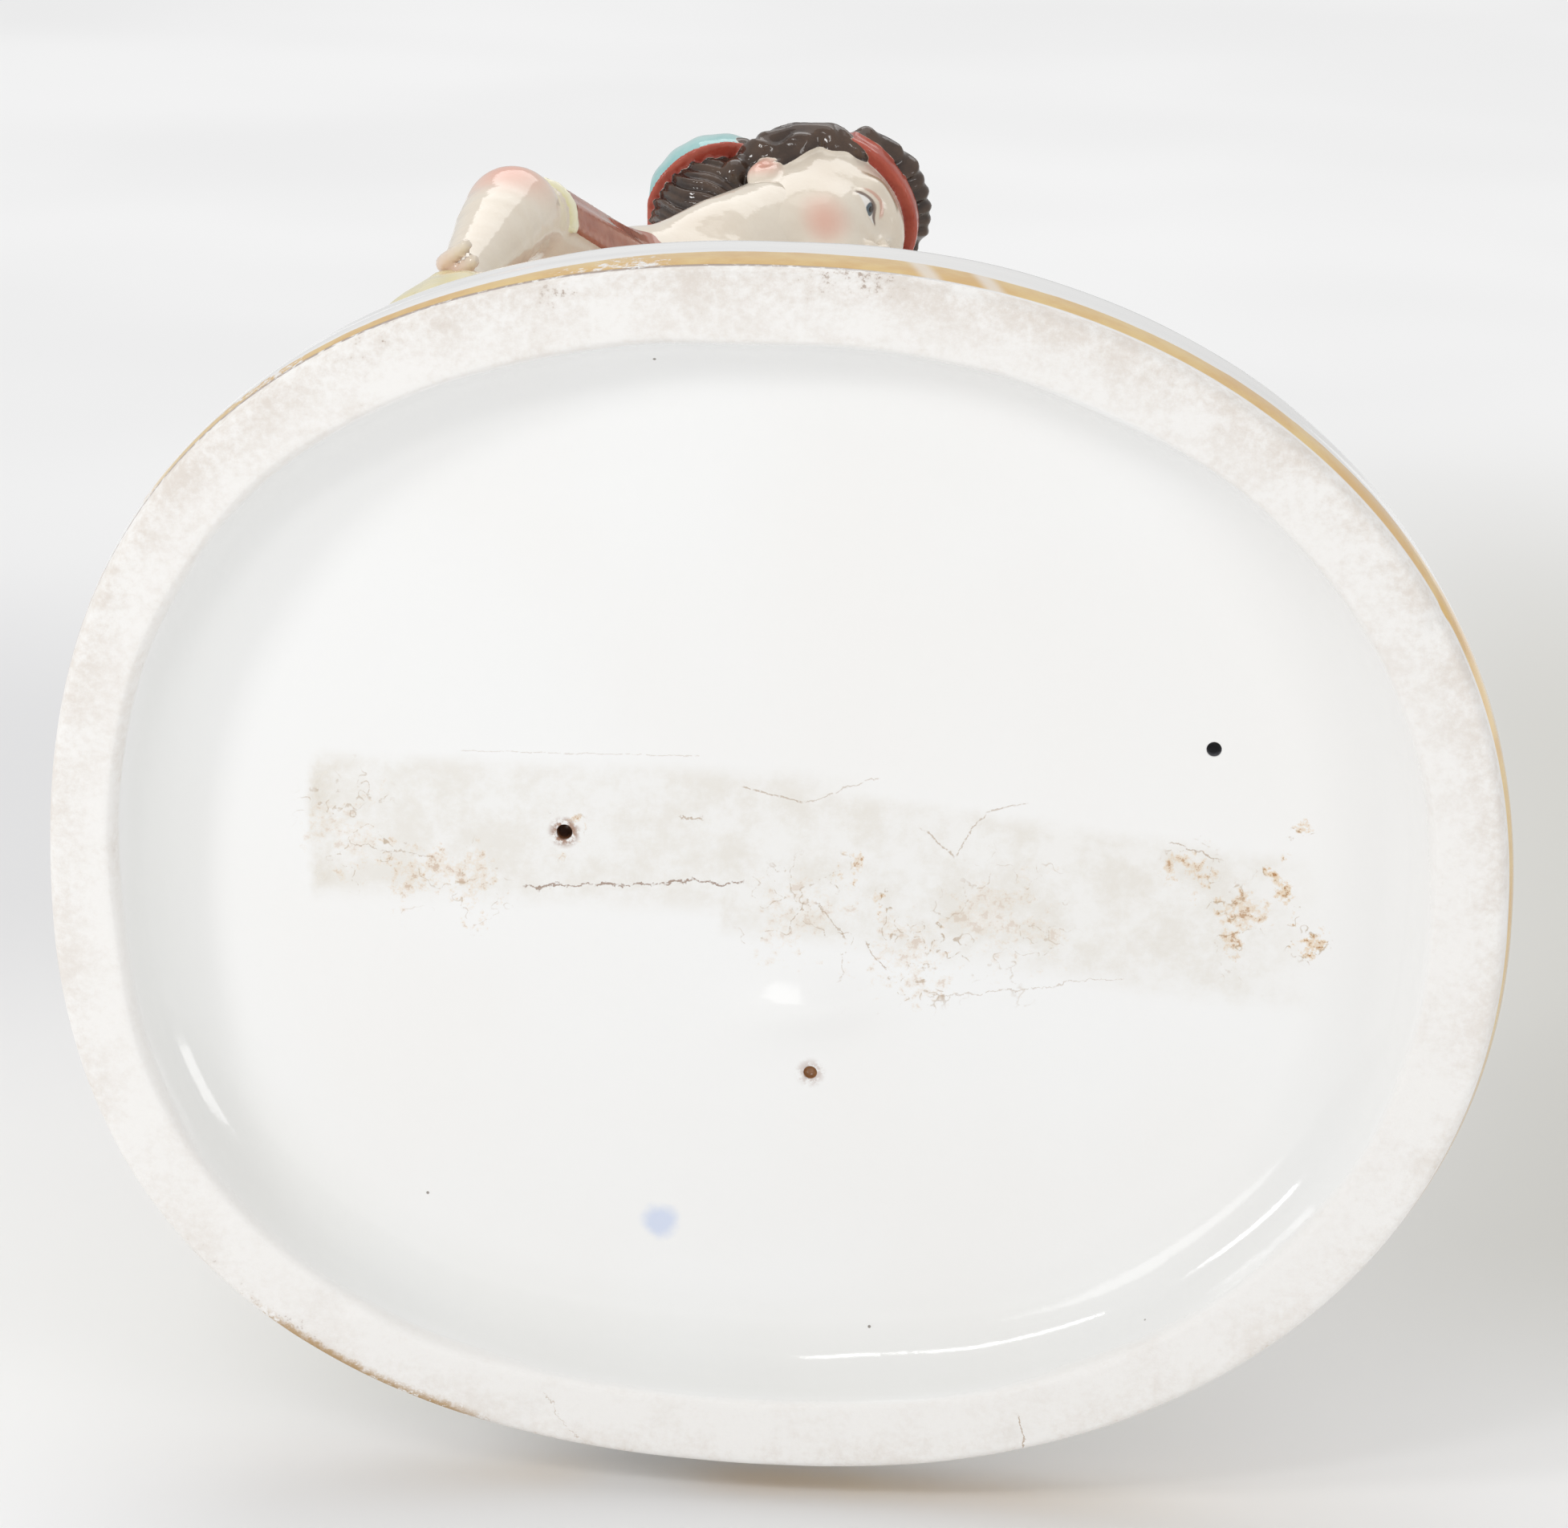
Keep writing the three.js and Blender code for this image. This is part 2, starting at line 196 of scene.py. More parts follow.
@dataclass
class Bell(Form):
    """A skirt: ovals stacked up, with folds that run down and drift as they fall.

    Each level is its height, its middle x and y, its reach ahead and aside, the depth of its folds, and
    how much lower it lies in front than in the middle.
    """

    FOLD_ROOM: ClassVar[float] = 1.12

    levels: tuple
    ahead: tuple[float, float]
    folds: tuple[int, ...]
    drift: float = 0.0

    def __post_init__(self) -> None:
        """Turns the levels into a table."""
        self.levels = np.array(self.levels, dtype=float)

    def bounds(self) -> tuple[Array, Array]:
        """Returns the box round the skirt."""
        middles = self.levels[:, [1, 2, 0]]
        reach = np.abs(self.levels[:, 3:5]).max(axis=1) * self.FOLD_ROOM
        spread = np.stack([reach, reach, self.levels[:, 6]], axis=1)
        return (middles - spread).min(axis=0), (middles + spread).max(axis=0)

    def far(self, points: Array) -> Array:
        """Returns an estimate of the distance from the skirt."""
        rows = self.levels
        height = points[..., 2]
        middle = rows[len(rows) // 2]
        lean = (points[..., 0] - middle[1]) * self.ahead[0] + (points[..., 1] - middle[2]) * self.ahead[1]
        level = height + np.interp(height, rows[:, 0], rows[:, 6]) * np.clip(lean / middle[3], -1.0, 1.0)
        x, y, long, short, depth = (np.interp(level, rows[:, 0], rows[:, i]) for i in range(1, 6))
        dx, dy = points[..., 0] - x, points[..., 1] - y
        along = (dx * self.ahead[0] + dy * self.ahead[1]) / long
        aside = (dx * self.ahead[1] - dy * self.ahead[0]) / short
        turn = np.arctan2(aside, along) + self.drift * np.sin(level / 19.0)
        wave = np.zeros_like(turn)
        for i, count in enumerate(self.folds):
            wave += (1.0 - 2.0 * np.abs(np.sin(0.5 * count * turn + 1.7 * i)) ** 0.8) / (i + 1.0)
        near = np.hypot(along, aside) / (1.0 + depth * wave)
        side = (near - 1.0) * np.minimum(long, short) * 0.85
        ends = np.maximum(rows[0, 0] - level, level - rows[-1, 0])
        return -soft_min(-side, -ends, 2.0)


@dataclass
class Relief(Form):
    """A form whose skin is raised and cut by a pattern."""

    form: Form
    pattern: Rule
    height: float

    def bounds(self) -> tuple[Array, Array]:
        """Returns the form's own box, let out by the height of the relief."""
        low, high = self.form.bounds()
        return low - self.height, high + self.height

    def far(self, points: Array) -> Array:
        """Returns the distance, less where the pattern stands proud."""
        return self.form.far(points) - self.height * self.pattern(points)


@dataclass
class Within(Form):
    """A form kept only where a rule gives more than nothing. The rule gives millimetres."""

    form: Form
    rule: Rule
    soft: float = 0.5

    def bounds(self) -> tuple[Array, Array]:
        """Returns the form's own box."""
        return self.form.bounds()

    def far(self, points: Array) -> Array:
        """Returns the distance from what is kept."""
        return -soft_min(-self.form.far(points), self.rule(points), self.soft)


class Clay:
    """Modelling clay on a fine grid: forms are added to it and taken away, and then it gets a skin."""

    FAR = 9.0
    REACH = 4.0
    MARGIN = 3.0

    def __init__(self, low: Array, high: Array, pitch: float) -> None:
        """Clears a block of space.

        Args:
            low: The block's lowest corner.
            high: Its highest corner.
            pitch: The distance between grid points.
        """
        self.low = low
        self.pitch = pitch
        self.field = np.full(np.ceil((high - low) / pitch).astype(int) + 1, self.FAR, dtype=np.float32)
        self.coats: list[tuple[Form, "Paint"]] = []

    def _near(self, form: Form, margin: float) -> tuple[tuple, Array]:
        """Returns the part of the grid within margin of a form, as slices and as points."""
        low, high = form.bounds()
        shape = np.array(self.field.shape)
        first = np.clip(np.floor((low - margin - self.low) / self.pitch).astype(int), 0, shape)
        last = np.clip(np.ceil((high + margin - self.low) / self.pitch).astype(int) + 1, 0, shape)
        lines = [self.low[i] + self.pitch * np.arange(first[i], last[i]) for i in range(3)]
        points = np.stack(np.meshgrid(*lines, indexing="ij"), axis=-1)
        return tuple(slice(a, b) for a, b in zip(first, last)), points

    def add(self, form: Form, paint: "Paint", blend: float = 0.8) -> None:
        """Adds a form, melted into what is there over the distance blend, to be painted as told."""
        here, points = self._near(form, blend + 2 * self.pitch)
        if points.size:
            self.field[here] = soft_min(self.field[here], form.far(points), blend)
        self.coats.append((form, paint))

    def add_limbs(self, limbs: Limbs, paint: "Paint", blend: float = 0.8) -> None:
        """Adds limbs, each given as its path and its thicknesses, in one paint and with one blend."""
        for path, radii in limbs:
            self.add(Limb(path, radii), paint, blend)

    def carve(self, form: Form, blend: float = 0.8) -> None:
        """Takes a form away, with the edge rounded over the distance blend."""
        here, points = self._near(form, blend + 2 * self.pitch)
        if points.size:
            self.field[here] = -soft_min(-self.field[here], form.far(points), blend)

    def sample(self, points: Array) -> tuple[Array, Array]:
        """Returns the field and its slope at points, blended between the grid points round each."""
        place = np.clip((points - self.low) / self.pitch, 0, np.array(self.field.shape) - 1.001)
        first = place.astype(int)
        t = place - first
        share = [(1 - t[:, a], t[:, a]) for a in range(3)]
        value = np.zeros(len(points))
        slope = np.zeros((len(points), 3))
        for i, j, k in CORNERS:
            here = self.field[first[:, 0] + i, first[:, 1] + j, first[:, 2] + k]
            wx, wy, wz = share[0][i], share[1][j], share[2][k]
            value += here * wx * wy * wz
            slope[:, 0] += here * (2 * i - 1) * wy * wz
            slope[:, 1] += here * (2 * j - 1) * wx * wz
            slope[:, 2] += here * (2 * k - 1) * wx * wy
        return value, slope / self.pitch

    def skin(self) -> "Skin":
        """Wraps the clay in faces of four points each, and returns the skin."""
        for axis in range(3):
            for end in (0, -1):
                edge = [slice(None)] * 3
                edge[axis] = end
                self.field[tuple(edge)] = np.maximum(self.field[tuple(edge)], 0.5 * self.pitch)
        inside = self.field < 0
        corners = np.zeros([n - 1 for n in inside.shape], dtype=np.uint8)
        for corner in CORNERS:
            corners += inside[tuple(slice(o, n - 1 + o) for n, o in zip(inside.shape, corner))]
        active = (corners > 0) & (corners < 8)
        cells = np.argwhere(active)
        number = np.full(active.shape, -1, dtype=np.int32)
        number[active] = np.arange(len(cells))
        total = np.zeros((len(cells), 3))
        count = np.zeros(len(cells))
        for axis in range(3):
            step = np.eye(3, dtype=int)[axis]
            for i, j in product((0, 1), repeat=2):
                start = cells + np.insert([i, j], axis, 0)
                a = self.field[tuple(start.T)]
                b = self.field[tuple((start + step).T)]
                cross = (a < 0) != (b < 0)
                share = np.where(cross, a / np.where(cross, a - b, 1), 0)
                total[cross] += (start + share[:, None] * step)[cross]
                count[cross] += 1
        points = self.low + self.pitch * total / count[:, None]
        faces = []
        for axis in range(3):
            step, u, v = (np.roll(np.eye(3, dtype=int)[axis], turn) for turn in (0, 1, 2))
            one = [slice(None)] * 3
            two = [slice(None)] * 3
            one[axis] = slice(0, -1)
            two[axis] = slice(1, None)
            change = inside[tuple(one)] != inside[tuple(two)]
            spots = np.argwhere(change)
            room = np.array(active.shape)
            spots = spots[((spots - u - v >= 0) & (spots < room)).all(axis=1)]
            ring = np.stack([number[tuple((spots - o).T)] for o in (0 * u, u, u + v, v)], axis=1)
            outward = inside[tuple(spots.T)]
            faces.append(np.where(outward[:, None], ring, ring[:, ::-1]))
        for _ in range(2):
            value, slope = self.sample(points)
            steep = np.maximum((slope**2).sum(axis=1), 0.05)
            points = points - np.clip(value / steep, -self.pitch, self.pitch)[:, None] * slope
        return Skin(points, np.concatenate(faces))

    def margins(self, points: Array) -> dict["Paint", Array]:
        """Tells the paints apart.

        Args:
            points: Points on the skin.

        Returns:
            For each paint, how much nearer each point is to that paint's forms than to any others.
        """
        nearest: dict[Paint, Array] = {}
        for form, paint in self.coats:
            away = np.full(len(points), self.FAR)
            low, high = form.bounds()
            close = ((points > low - self.REACH) & (points < high + self.REACH)).all(axis=1)
            away[close] = form.far(points[close])
            nearest[paint] = np.minimum(nearest.get(paint, self.FAR), away)
        found = {}
        for paint, away in nearest.items():
            others = [other for kind, other in nearest.items() if kind is not paint]
            rest = np.minimum.reduce(others) if others else np.full(len(points), self.FAR)
            found[paint] = np.clip(rest - away, -self.MARGIN, self.MARGIN)
        return found


@dataclass
class Skin:
    """A closed skin: its points, and its faces as rows of four point numbers that face outwards."""

    points: Array
    faces: Array

    def _gather(self, held: Array) -> Array:
        """Adds up, at each point, what its neighbours round each face hold."""
        total = np.zeros(len(self.points))
        for i, step in product(range(4), (1, 3)):
            total += np.bincount(self.faces[:, i], held[self.faces[:, (i + step) % 4]], len(total))
        return total

    def normals(self) -> Array:
        """Returns the outward direction at each point."""
        corners = self.points[self.faces]
        cross = np.cross(corners[:, 2] - corners[:, 0], corners[:, 3] - corners[:, 1])
        total = np.zeros_like(self.points)
        for i, axis in product(range(4), range(3)):
            total[:, axis] += np.bincount(self.faces[:, i], cross[:, axis], len(self.points))
        return total / np.maximum(np.linalg.norm(total, axis=1), 1e-9)[:, None]

    def hollow(self) -> Array:
        """Returns how deep in a groove each point lies, in millimetres, under 0 on ridges."""
        count = np.maximum(self._gather(np.ones(len(self.points))), 1)
        middle = np.stack([self._gather(self.points[:, axis]) / count for axis in range(3)], axis=1)
        bend = ((middle - self.points) * self.normals()).sum(axis=1)
        for _ in range(2):
            bend = 0.5 * bend + 0.5 * self._gather(bend) / count
        return bend


def make_piece(name: str, points: Array, faces: Array, values: dict[str, Array] | None = None) -> Piece:
    """Makes a smooth mesh.

    Args:
        name: The piece's name.
        points: Its points, in millimetres.
        faces: Rows of point numbers, all of one length.
        values: Numbers for each point, or rows of three for a colour, by name.

    Returns:
        The new object, linked to the scene.
    """
    sides = faces.shape[1]
    mesh = bpy.data.meshes.new(name)
    mesh.vertices.add(len(points))
    mesh.vertices.foreach_set("co", (points * MM).astype(np.float32).ravel())
    mesh.loops.add(faces.size)
    mesh.loops.foreach_set("vertex_index", faces.astype(np.int32).ravel())
    mesh.polygons.add(len(faces))
    mesh.polygons.foreach_set("loop_start", np.arange(0, faces.size, sides, dtype=np.int32))
    mesh.polygons.foreach_set("use_smooth", np.ones(len(faces), dtype=bool))
    mesh.update(calc_edges=True)
    mesh.validate()
    put_values(mesh, values or {})
    piece = bpy.data.objects.new(name, mesh)
    bpy.context.scene.collection.objects.link(piece)
    return piece


def stack_rings(rings: list[tuple[Array, Array]]) -> Array:
    """Returns the points of rings about the vertical, each given as its reaches and its heights."""
    turn = np.linspace(0, 2 * np.pi, len(rings[0][0]), endpoint=False)
    points = [np.stack([reach * np.cos(turn), reach * np.sin(turn), high], axis=1) for reach, high in rings]
    return np.concatenate(points)


def ring_faces(rings: int, sides: int) -> Array:
    """Returns faces of four points that join stacked rings, each ring to the next one up."""
    here = np.arange(sides)
    after = (here + 1) % sides
    bottom = np.arange(rings - 1)[:, None] * sides
    faces = np.stack([bottom + here, bottom + after, bottom + sides + after, bottom + sides + here], axis=2)
    return faces.reshape(-1, 4)


def put_values(mesh: bpy.types.Mesh, values: dict[str, Array]) -> None:
    """Stores numbers or colours with a mesh's points, by name."""
    for label, numbers in values.items():
        if numbers.ndim == 1:
            mesh.attributes.new(label, "FLOAT", "POINT").data.foreach_set("value", numbers.astype(np.float32))
        else:
            full = np.concatenate([numbers, np.ones((len(numbers), 1))], axis=1).astype(np.float32)
            mesh.attributes.new(label, "FLOAT_COLOR", "POINT").data.foreach_set("color", full.ravel())


def hand_in(piece: Piece, *materials: Material) -> Piece:
    """Gives a finished piece its materials and its place in the group, reports it and returns it."""
    for material in materials:
        piece.data.materials.append(material)
    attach(piece, BODY)
    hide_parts(NODE)
    LOG.info("%s: %d faces", piece.name, len(piece.data.polygons))
    return piece


def tint(red: float, green: float, blue: float) -> Colour:
    """Turns a colour as a screen shows it, 0 to 255, into amounts of light."""

    def light(share: float) -> float:
        """Undoes the screen's curve for one channel."""
        return share / 12.92 if share <= 0.04045 else ((share + 0.055) / 1.055) ** 2.4

    return tuple(light(channel / 255.0) for channel in (red, green, blue))


class Value:
    """A number that changes over a surface, used in ordinary arithmetic."""

    def __init__(self, sheet: "Sheet", socket: Socket) -> None:
        """Wraps a socket of a sheet."""
        self.sheet = sheet
        self.socket = socket

    def _math(self, operation: str, *inputs: Amount) -> "Value":
        """Adds one Math node and returns what it gives."""
        node = self.sheet.node("ShaderNodeMath", {"operation": operation}, dict(enumerate(inputs)))
        return Value(self.sheet, node.outputs[0])

    @staticmethod
    def _one(operation: str) -> "Callable[[Value], Value]":
        """Returns a method that works on the value alone."""
        return lambda value: value._math(operation, value)

    @staticmethod
    def _two(operation: str, swapped: bool = False) -> "Callable[[Value, Value | float], Value]":
        """Returns a method that works on the value and another, or on the other first."""
        if swapped:
            return lambda value, other: value._math(operation, other, value)
        return lambda value, other: value._math(operation, value, other)

    __add__ = __radd__ = _two("ADD")
    __mul__ = __rmul__ = _two("MULTIPLY")
    __sub__ = _two("SUBTRACT")
    __rsub__ = _two("SUBTRACT", swapped=True)
    __truediv__ = _two("DIVIDE")
    most = _two("MAXIMUM")
    angle_over = _two("ARCTAN2")
    size = _one("ABSOLUTE")
    sine = _one("SINE")
    root = _one("SQRT")

    def rise(self, low: float, high: float) -> "Value":
        """Goes smoothly from 0 at low to 1 at high, and high may be the lesser."""
        settings = {"interpolation_type": "SMOOTHSTEP"}
        values = {"Value": self, "From Min": low, "From Max": high, "To Min": 0.0, "To Max": 1.0}
        if low > high:
            values.update({"From Min": high, "From Max": low, "To Min": 1.0, "To Max": 0.0})
        return Value(self.sheet, self.sheet.node("ShaderNodeMapRange", settings, values).outputs["Result"])


class Sheet:
    """The recipe of one material, written as expressions."""

    def __init__(self, name: str) -> None:
        """Starts an empty material."""
        self.material = bpy.data.materials.new(name)
        self.material.use_nodes = True
        self.tree = self.material.node_tree
        self.tree.nodes.clear()

    def node(self, kind: str, settings: dict | None = None, values: dict | None = None) -> bpy.types.Node:
        """Adds a node.

        Args:
            kind: The node's type.
            settings: Its own settings, which are set first.
            values: What goes into its sockets, by name or number: a Value, a socket, or plain numbers.

        Returns:
            The node.
        """
        node = self.tree.nodes.new(kind)
        for key, setting in (settings or {}).items():
            setattr(node, key, setting)
        for key, value in (values or {}).items():
            socket = node.inputs[key]
            if isinstance(value, Value):
                self.tree.links.new(value.socket, socket)
            elif isinstance(value, Socket):
                self.tree.links.new(value, socket)
            elif isinstance(value, tuple) and len(value) == 3 and socket.type == "RGBA":
                socket.default_value = (*value, 1.0)
            else:
                socket.default_value = value
        return node

    def number(self, name: str) -> Value:
        """Returns a number stored with the mesh's points."""
        return Value(self, self.node("ShaderNodeAttribute", {"attribute_name": name}).outputs["Fac"])

    def colour(self, name: str) -> Socket:
        """Returns a colour stored with the mesh's points."""
        return self.node("ShaderNodeAttribute", {"attribute_name": name}).outputs["Color"]

    def place(self) -> tuple[Socket, Value, Value, Value]:
        """Returns the place on the piece in millimetres, as one vector and as x, y and z."""
        coordinates = self.node("ShaderNodeTexCoord").outputs["Object"]
        where = self.vector("SCALE", coordinates, Scale=1 / MM)
        parts = self.node("ShaderNodeSeparateXYZ", None, {0: where})
        return (where, *(Value(self, parts.outputs[i]) for i in range(3)))

    def vector(self, operation: str, *inputs: "Socket | Point", **named: float) -> Socket:
        """Adds one Vector Math node and returns the vector that it gives."""
        values = {**dict(enumerate(inputs)), **named}
        return self.node("ShaderNodeVectorMath", {"operation": operation}, values).outputs[0]

    def noise(self, where: Socket, scale: float, detail: float = 3.0, rough: float = 0.55) -> Value:
        """Returns cloudy noise about 0.5, with about scale clouds to a millimetre."""
        values = {"Vector": where, "Scale": scale, "Detail": detail, "Roughness": rough}
        return Value(self, self.node("ShaderNodeTexNoise", None, values).outputs["Fac"])

    def mix(self, share: Amount, a: object, b: object) -> Socket:
        """Returns colour a where share is 0 and b where it is 1."""
        settings = {"data_type": "RGBA", "clamp_factor": True}
        return self.node("ShaderNodeMix", settings, {0: share, 6: a, 7: b}).outputs[2]

    def near(self, where: Socket, spot: Point) -> Value:
        """Returns the distance from a spot, in millimetres."""
        node = self.node("ShaderNodeVectorMath", {"operation": "DISTANCE"}, {0: where, 1: spot})
        return Value(self, node.outputs["Value"])

    def bump(self, height: Value, depth: float) -> Socket:
        """Returns a normal for a fine relief, depth millimetres from 0 to 1."""
        node = self.node("ShaderNodeBump", None, {"Strength": 1.0, "Distance": depth * MM, "Height": height})
        return node.outputs["Normal"]

    def finish(self, colour: object, roughness: Amount, extra: dict | None = None) -> Material:
        """Closes the recipe with a glossy surface.

        Args:
            colour: The base colour.
            roughness: How matt it is.
            extra: Values for more of the shader's sockets.

        Returns:
            The finished material.
        """
        values = {"Base Color": colour, "Roughness": roughness, "IOR": 1.52, **(extra or {})}
        shader = self.node("ShaderNodeBsdfPrincipled", None, values)
        self.node("ShaderNodeOutputMaterial", None, {"Surface": shader.outputs[0]})
        return self.material


@dataclass(frozen=True)
class PhotoCamera:
    """The camera, placed as the photograph was taken: from below, close to the axis of the group."""

    eye: Point = (51.34, -194.0, -618.2)
    aim: Point = (1.04, -15.7, 0.0)
    roll: float = -1.2
    lens: float = 124.4
    sensor: float = 36.0

    def place(self) -> None:
        """Sets the camera up and makes it the scene's."""
        back = unit(np.array(self.eye) - np.array(self.aim))
        up = unit(vec(0, -1, 0) + back * back[1])
        right = np.cross(up, back)
        turn = math.radians(self.roll)
        up = up * math.cos(turn) + right * math.sin(turn)
        right = np.cross(up, back)
        data = bpy.data.cameras.new("photo_camera")
        data.lens = self.lens
        data.sensor_width = self.sensor
        data.clip_start = 0.01
        data.clip_end = 20.0
        camera = bpy.data.objects.new("photo_camera", data)
        bpy.context.scene.collection.objects.link(camera)
        turned = Matrix([[right[i], up[i], back[i]] for i in range(3)]).to_4x4()
        camera.matrix_world = Matrix.Translation(Vector(self.eye) * MM) @ turned
        bpy.context.scene.camera = camera


@dataclass(frozen=True)
class Lamp:
    """One soft light: where it stands, what it is turned to, its sizes and its strength."""

    name: str
    spot: Point
    aim: Point
    sizes: tuple[float, float]
    watts: float

    def place(self) -> None:
        """Adds the light to the scene."""
        data = bpy.data.lights.new(self.name, "AREA")
        data.shape = "RECTANGLE"
        data.size = self.sizes[0] * MM
        data.size_y = self.sizes[1] * MM
        data.energy = self.watts
        lamp = bpy.data.objects.new(self.name, data)
        lamp.location = Vector(self.spot) * MM
        lamp.rotation_euler = (Vector(self.aim) - Vector(self.spot)).to_track_quat("-Z", "Y").to_euler()
        bpy.context.scene.collection.objects.link(lamp)


@dataclass
class Studio:
    """The pale table the group lies on, the light from all round, and the lamps."""

    table_y: float = 79.5
    table_half: float = 1500.0
    sky: float = 0.63
    lamps: tuple[Lamp, ...] = (
        Lamp("left_lamp", (-628, -322, -365), (0, 0, 10), (190, 100), 1.1),
        Lamp("right_lamp", (640, -110, -440), (0, 0, 10), (200, 260), 0.65),
        Lamp("top_lamp", (-250, -540, -560), (0, 0, 10), (280, 80), 0.62),
        Lamp("front_lamp", (-150, -900, 260), (0, 0, 90), (700, 500), 0.9),
        Lamp("low_lamp", (-188, 8, -750), (0, 0, 10), (220, 130), 0.2),
        Lamp("back_lamp", (0, -1300, 1300), (0, 77, 900), (1600, 900), 8.0),
    )

    def build(self) -> None:
        """Builds the table, the world and the lamps."""
        half = self.table_half
        corners = np.array([(-half, 0, -half), (half, 0, -half), (half, 0, half), (-half, 0, half)])
        table = make_piece("table", corners + vec(0, self.table_y, 0), np.array([[0, 1, 2, 3]]))
        table.visible_shadow = False
        sheet = Sheet("table_paper")
        where, x, _, z = sheet.place()
        cloud = sheet.noise(where, 0.004, 2.0)
        colour = sheet.mix(cloud.rise(0.3, 0.7), tint(240, 240, 240), tint(246, 246, 246))
        # painted shadow: the group's shadow on the table, to its right
        shade = x.rise(20.0, 120.0) * z.rise(10.0, 110.0) * z.rise(700.0, 350.0)
        colour = sheet.mix(shade, colour, tint(216, 215, 210))
        # painted shade: the table is painted darker towards the left
        painted_left_shade = x.rise(-75.0, -120.0) * z.rise(520.0, 320.0) * z.rise(110.0, 240.0)
        colour = sheet.mix(painted_left_shade * 0.8, colour, tint(222, 222, 223))
        paper = sheet.node("ShaderNodeBsdfPrincipled", None, {"Base Color": colour, "Roughness": 0.9})
        clear = sheet.node("ShaderNodeBsdfTransparent")
        back = sheet.node("ShaderNodeNewGeometry").outputs["Backfacing"]
        both = sheet.node("ShaderNodeMixShader", None, {0: back, 1: paper.outputs[0], 2: clear.outputs[0]})
        sheet.node("ShaderNodeOutputMaterial", None, {"Surface": both.outputs[0]})
        table.data.materials.append(sheet.material)
        world = bpy.data.worlds.new("pale_room")
        world.use_nodes = True
        background = world.node_tree.nodes["Background"]
        background.inputs["Color"].default_value = (self.sky, self.sky, self.sky, 1.0)
        bpy.context.scene.world = world
        bpy.context.scene.view_settings.view_transform = "Standard"
        for lamp in self.lamps:
            lamp.place()


@dataclass
class Plinth:
    """The oval base: a low mound above, a plain wall, a flat unglazed rim and a shallow recess below.

    The shoulder's rows are how far in from the outline it is and its share of the way up from the wall to
    the mound. The rows of the foot and the hollow are how far in they are and how high. A vent is its x
    and y, its radius and its depth, and a nick is its x and y, its size and its depth. The recess is soiled
    between two x and two y, from its corner inwards.
    """

    half_length: float = 87.9
    half_depth: float = 75.2
    squareness: float = 2.235
    unevenness: float = 0.0038
    shift: float = -1.05
    edge: float = 3.2
    wall_top: float = 15.5
    floor: float = 8.0
    sides: int = 540
    shoulder: Rows = (
        (3.2, 1.0), (2.1, 0.97), (1.25, 0.92), (0.7, 0.85),
        (0.32, 0.75), (0.12, 0.6), (0.03, 0.35), (0.0, 0.0),
    )
    foot: Rows = (
        (0.03, 2.2), (0.1, 1.4), (0.25, 0.8), (0.5, 0.35), (0.85, 0.1), (1.25, 0.02), (1.8, 0.0),
    )
    rim: tuple[float, float] = (2.4, 8.2)
    soiled: Rows = ((-68.0, 78.0), (-24.0, 34.0))
    corner: float = 11.4
    hollow: Rows = (
        (8.6, 0.12), (8.95, 0.5), (9.2, 1.1), (9.45, 1.8), (9.75, 2.6), (10.15, 3.5), (10.7, 4.4),
        (11.4, 5.3), (12.3, 6.1), (13.4, 6.8), (14.7, 7.35), (16.2, 7.7), (17.8, 7.9),
    )
    drip: tuple[float, float] = (4.5, 17.5)
    vent_sides: int = 28
    vents: tuple[tuple[float, float, float, float], ...] = (
        (52.0, -17.5, 0.92, 4.0),
        (-26.2, -3.6, 0.98, 3.0),
        (4.4, 25.8, 0.85, 1.0),
    )
    nicks: tuple[tuple[float, float, float, float], ...] = (
        (77.6, -36.6, 1.6, 0.9),
        (-70.5, 31.5, 1.5, 0.5),
        (31.8, 69.5, 1.3, 0.4),
        (-52.0, 55.5, 2.2, 0.4),
        (-28.0, 69.5, 1.8, 0.35),
    )

    def reach(self, angle: Array) -> Array:
        """Returns the distance from the middle to the outline, at angles about the vertical."""
        x = np.abs(np.cos(angle) / self.half_length) ** self.squareness
        y = np.abs(np.sin(angle) / self.half_depth) ** self.squareness
        uneven = 1.0 + self.unevenness * (np.cos(3 * angle) + np.cos(5 * angle)) + 0.0018 * np.sin(3 * angle)
        return (x + y) ** (-1.0 / self.squareness) * uneven

    def inset(self, x: Array, y: Array) -> Array:
        """Returns how far in from the outline points are."""
        angle = np.arctan2(y, x - self.shift)
        return self.reach(angle) - np.hypot(x - self.shift, y)

    def flare(self, angle: Array, height: float) -> Array:
        """Returns how far the wall swells out above the foot, most at the two ends."""
        swell = smooth_step(0.6, 6.5, height) * (1.0 - smooth_step(9.0, 15.5, height))
        along = np.cos(angle - 0.35)
        return swell * (0.2 + 0.8 * np.maximum(along, 0.0) ** 2 + 0.35 * np.maximum(-along, 0.0) ** 2)

    def ground(self, x: Array, y: Array) -> Array:
        """Returns the height of the mound."""
        inset = self.inset(x, y)
        swell = 20.6 + 2.2 * smooth_step(1.0, 46.0, inset)
        lumps = 0.9 * np.sin(x / 9.0 + 0.4 * np.sin(y / 13.0)) * np.cos(y / 8.0 + 1.0)
        lumps = lumps + 0.5 * np.sin(x / 4.1 + y / 5.3) + 0.35 * np.cos(x / 3.3 - y / 4.4 + 2.0)
        turn = np.arctan2(y, x)
        uneven = 0.6 * np.sin(3.0 * turn + 0.6) + 0.3 * np.sin(13.0 * turn) + 0.15 * np.sin(29.0 * turn)
        return swell + lumps * smooth_step(0.0, 12.0, inset) + uneven

    def _rows(self) -> list[tuple[Array, Array]]:
        """Returns the rings of the base from the top of the mound round to the middle of the recess.

        Returns:
            For each ring, its distance from the middle and its height, at every angle.
        """
        angle = np.linspace(0, 2 * np.pi, self.sides, endpoint=False)
        reach = self.reach(angle)
        around = np.stack([np.cos(angle), np.sin(angle)])

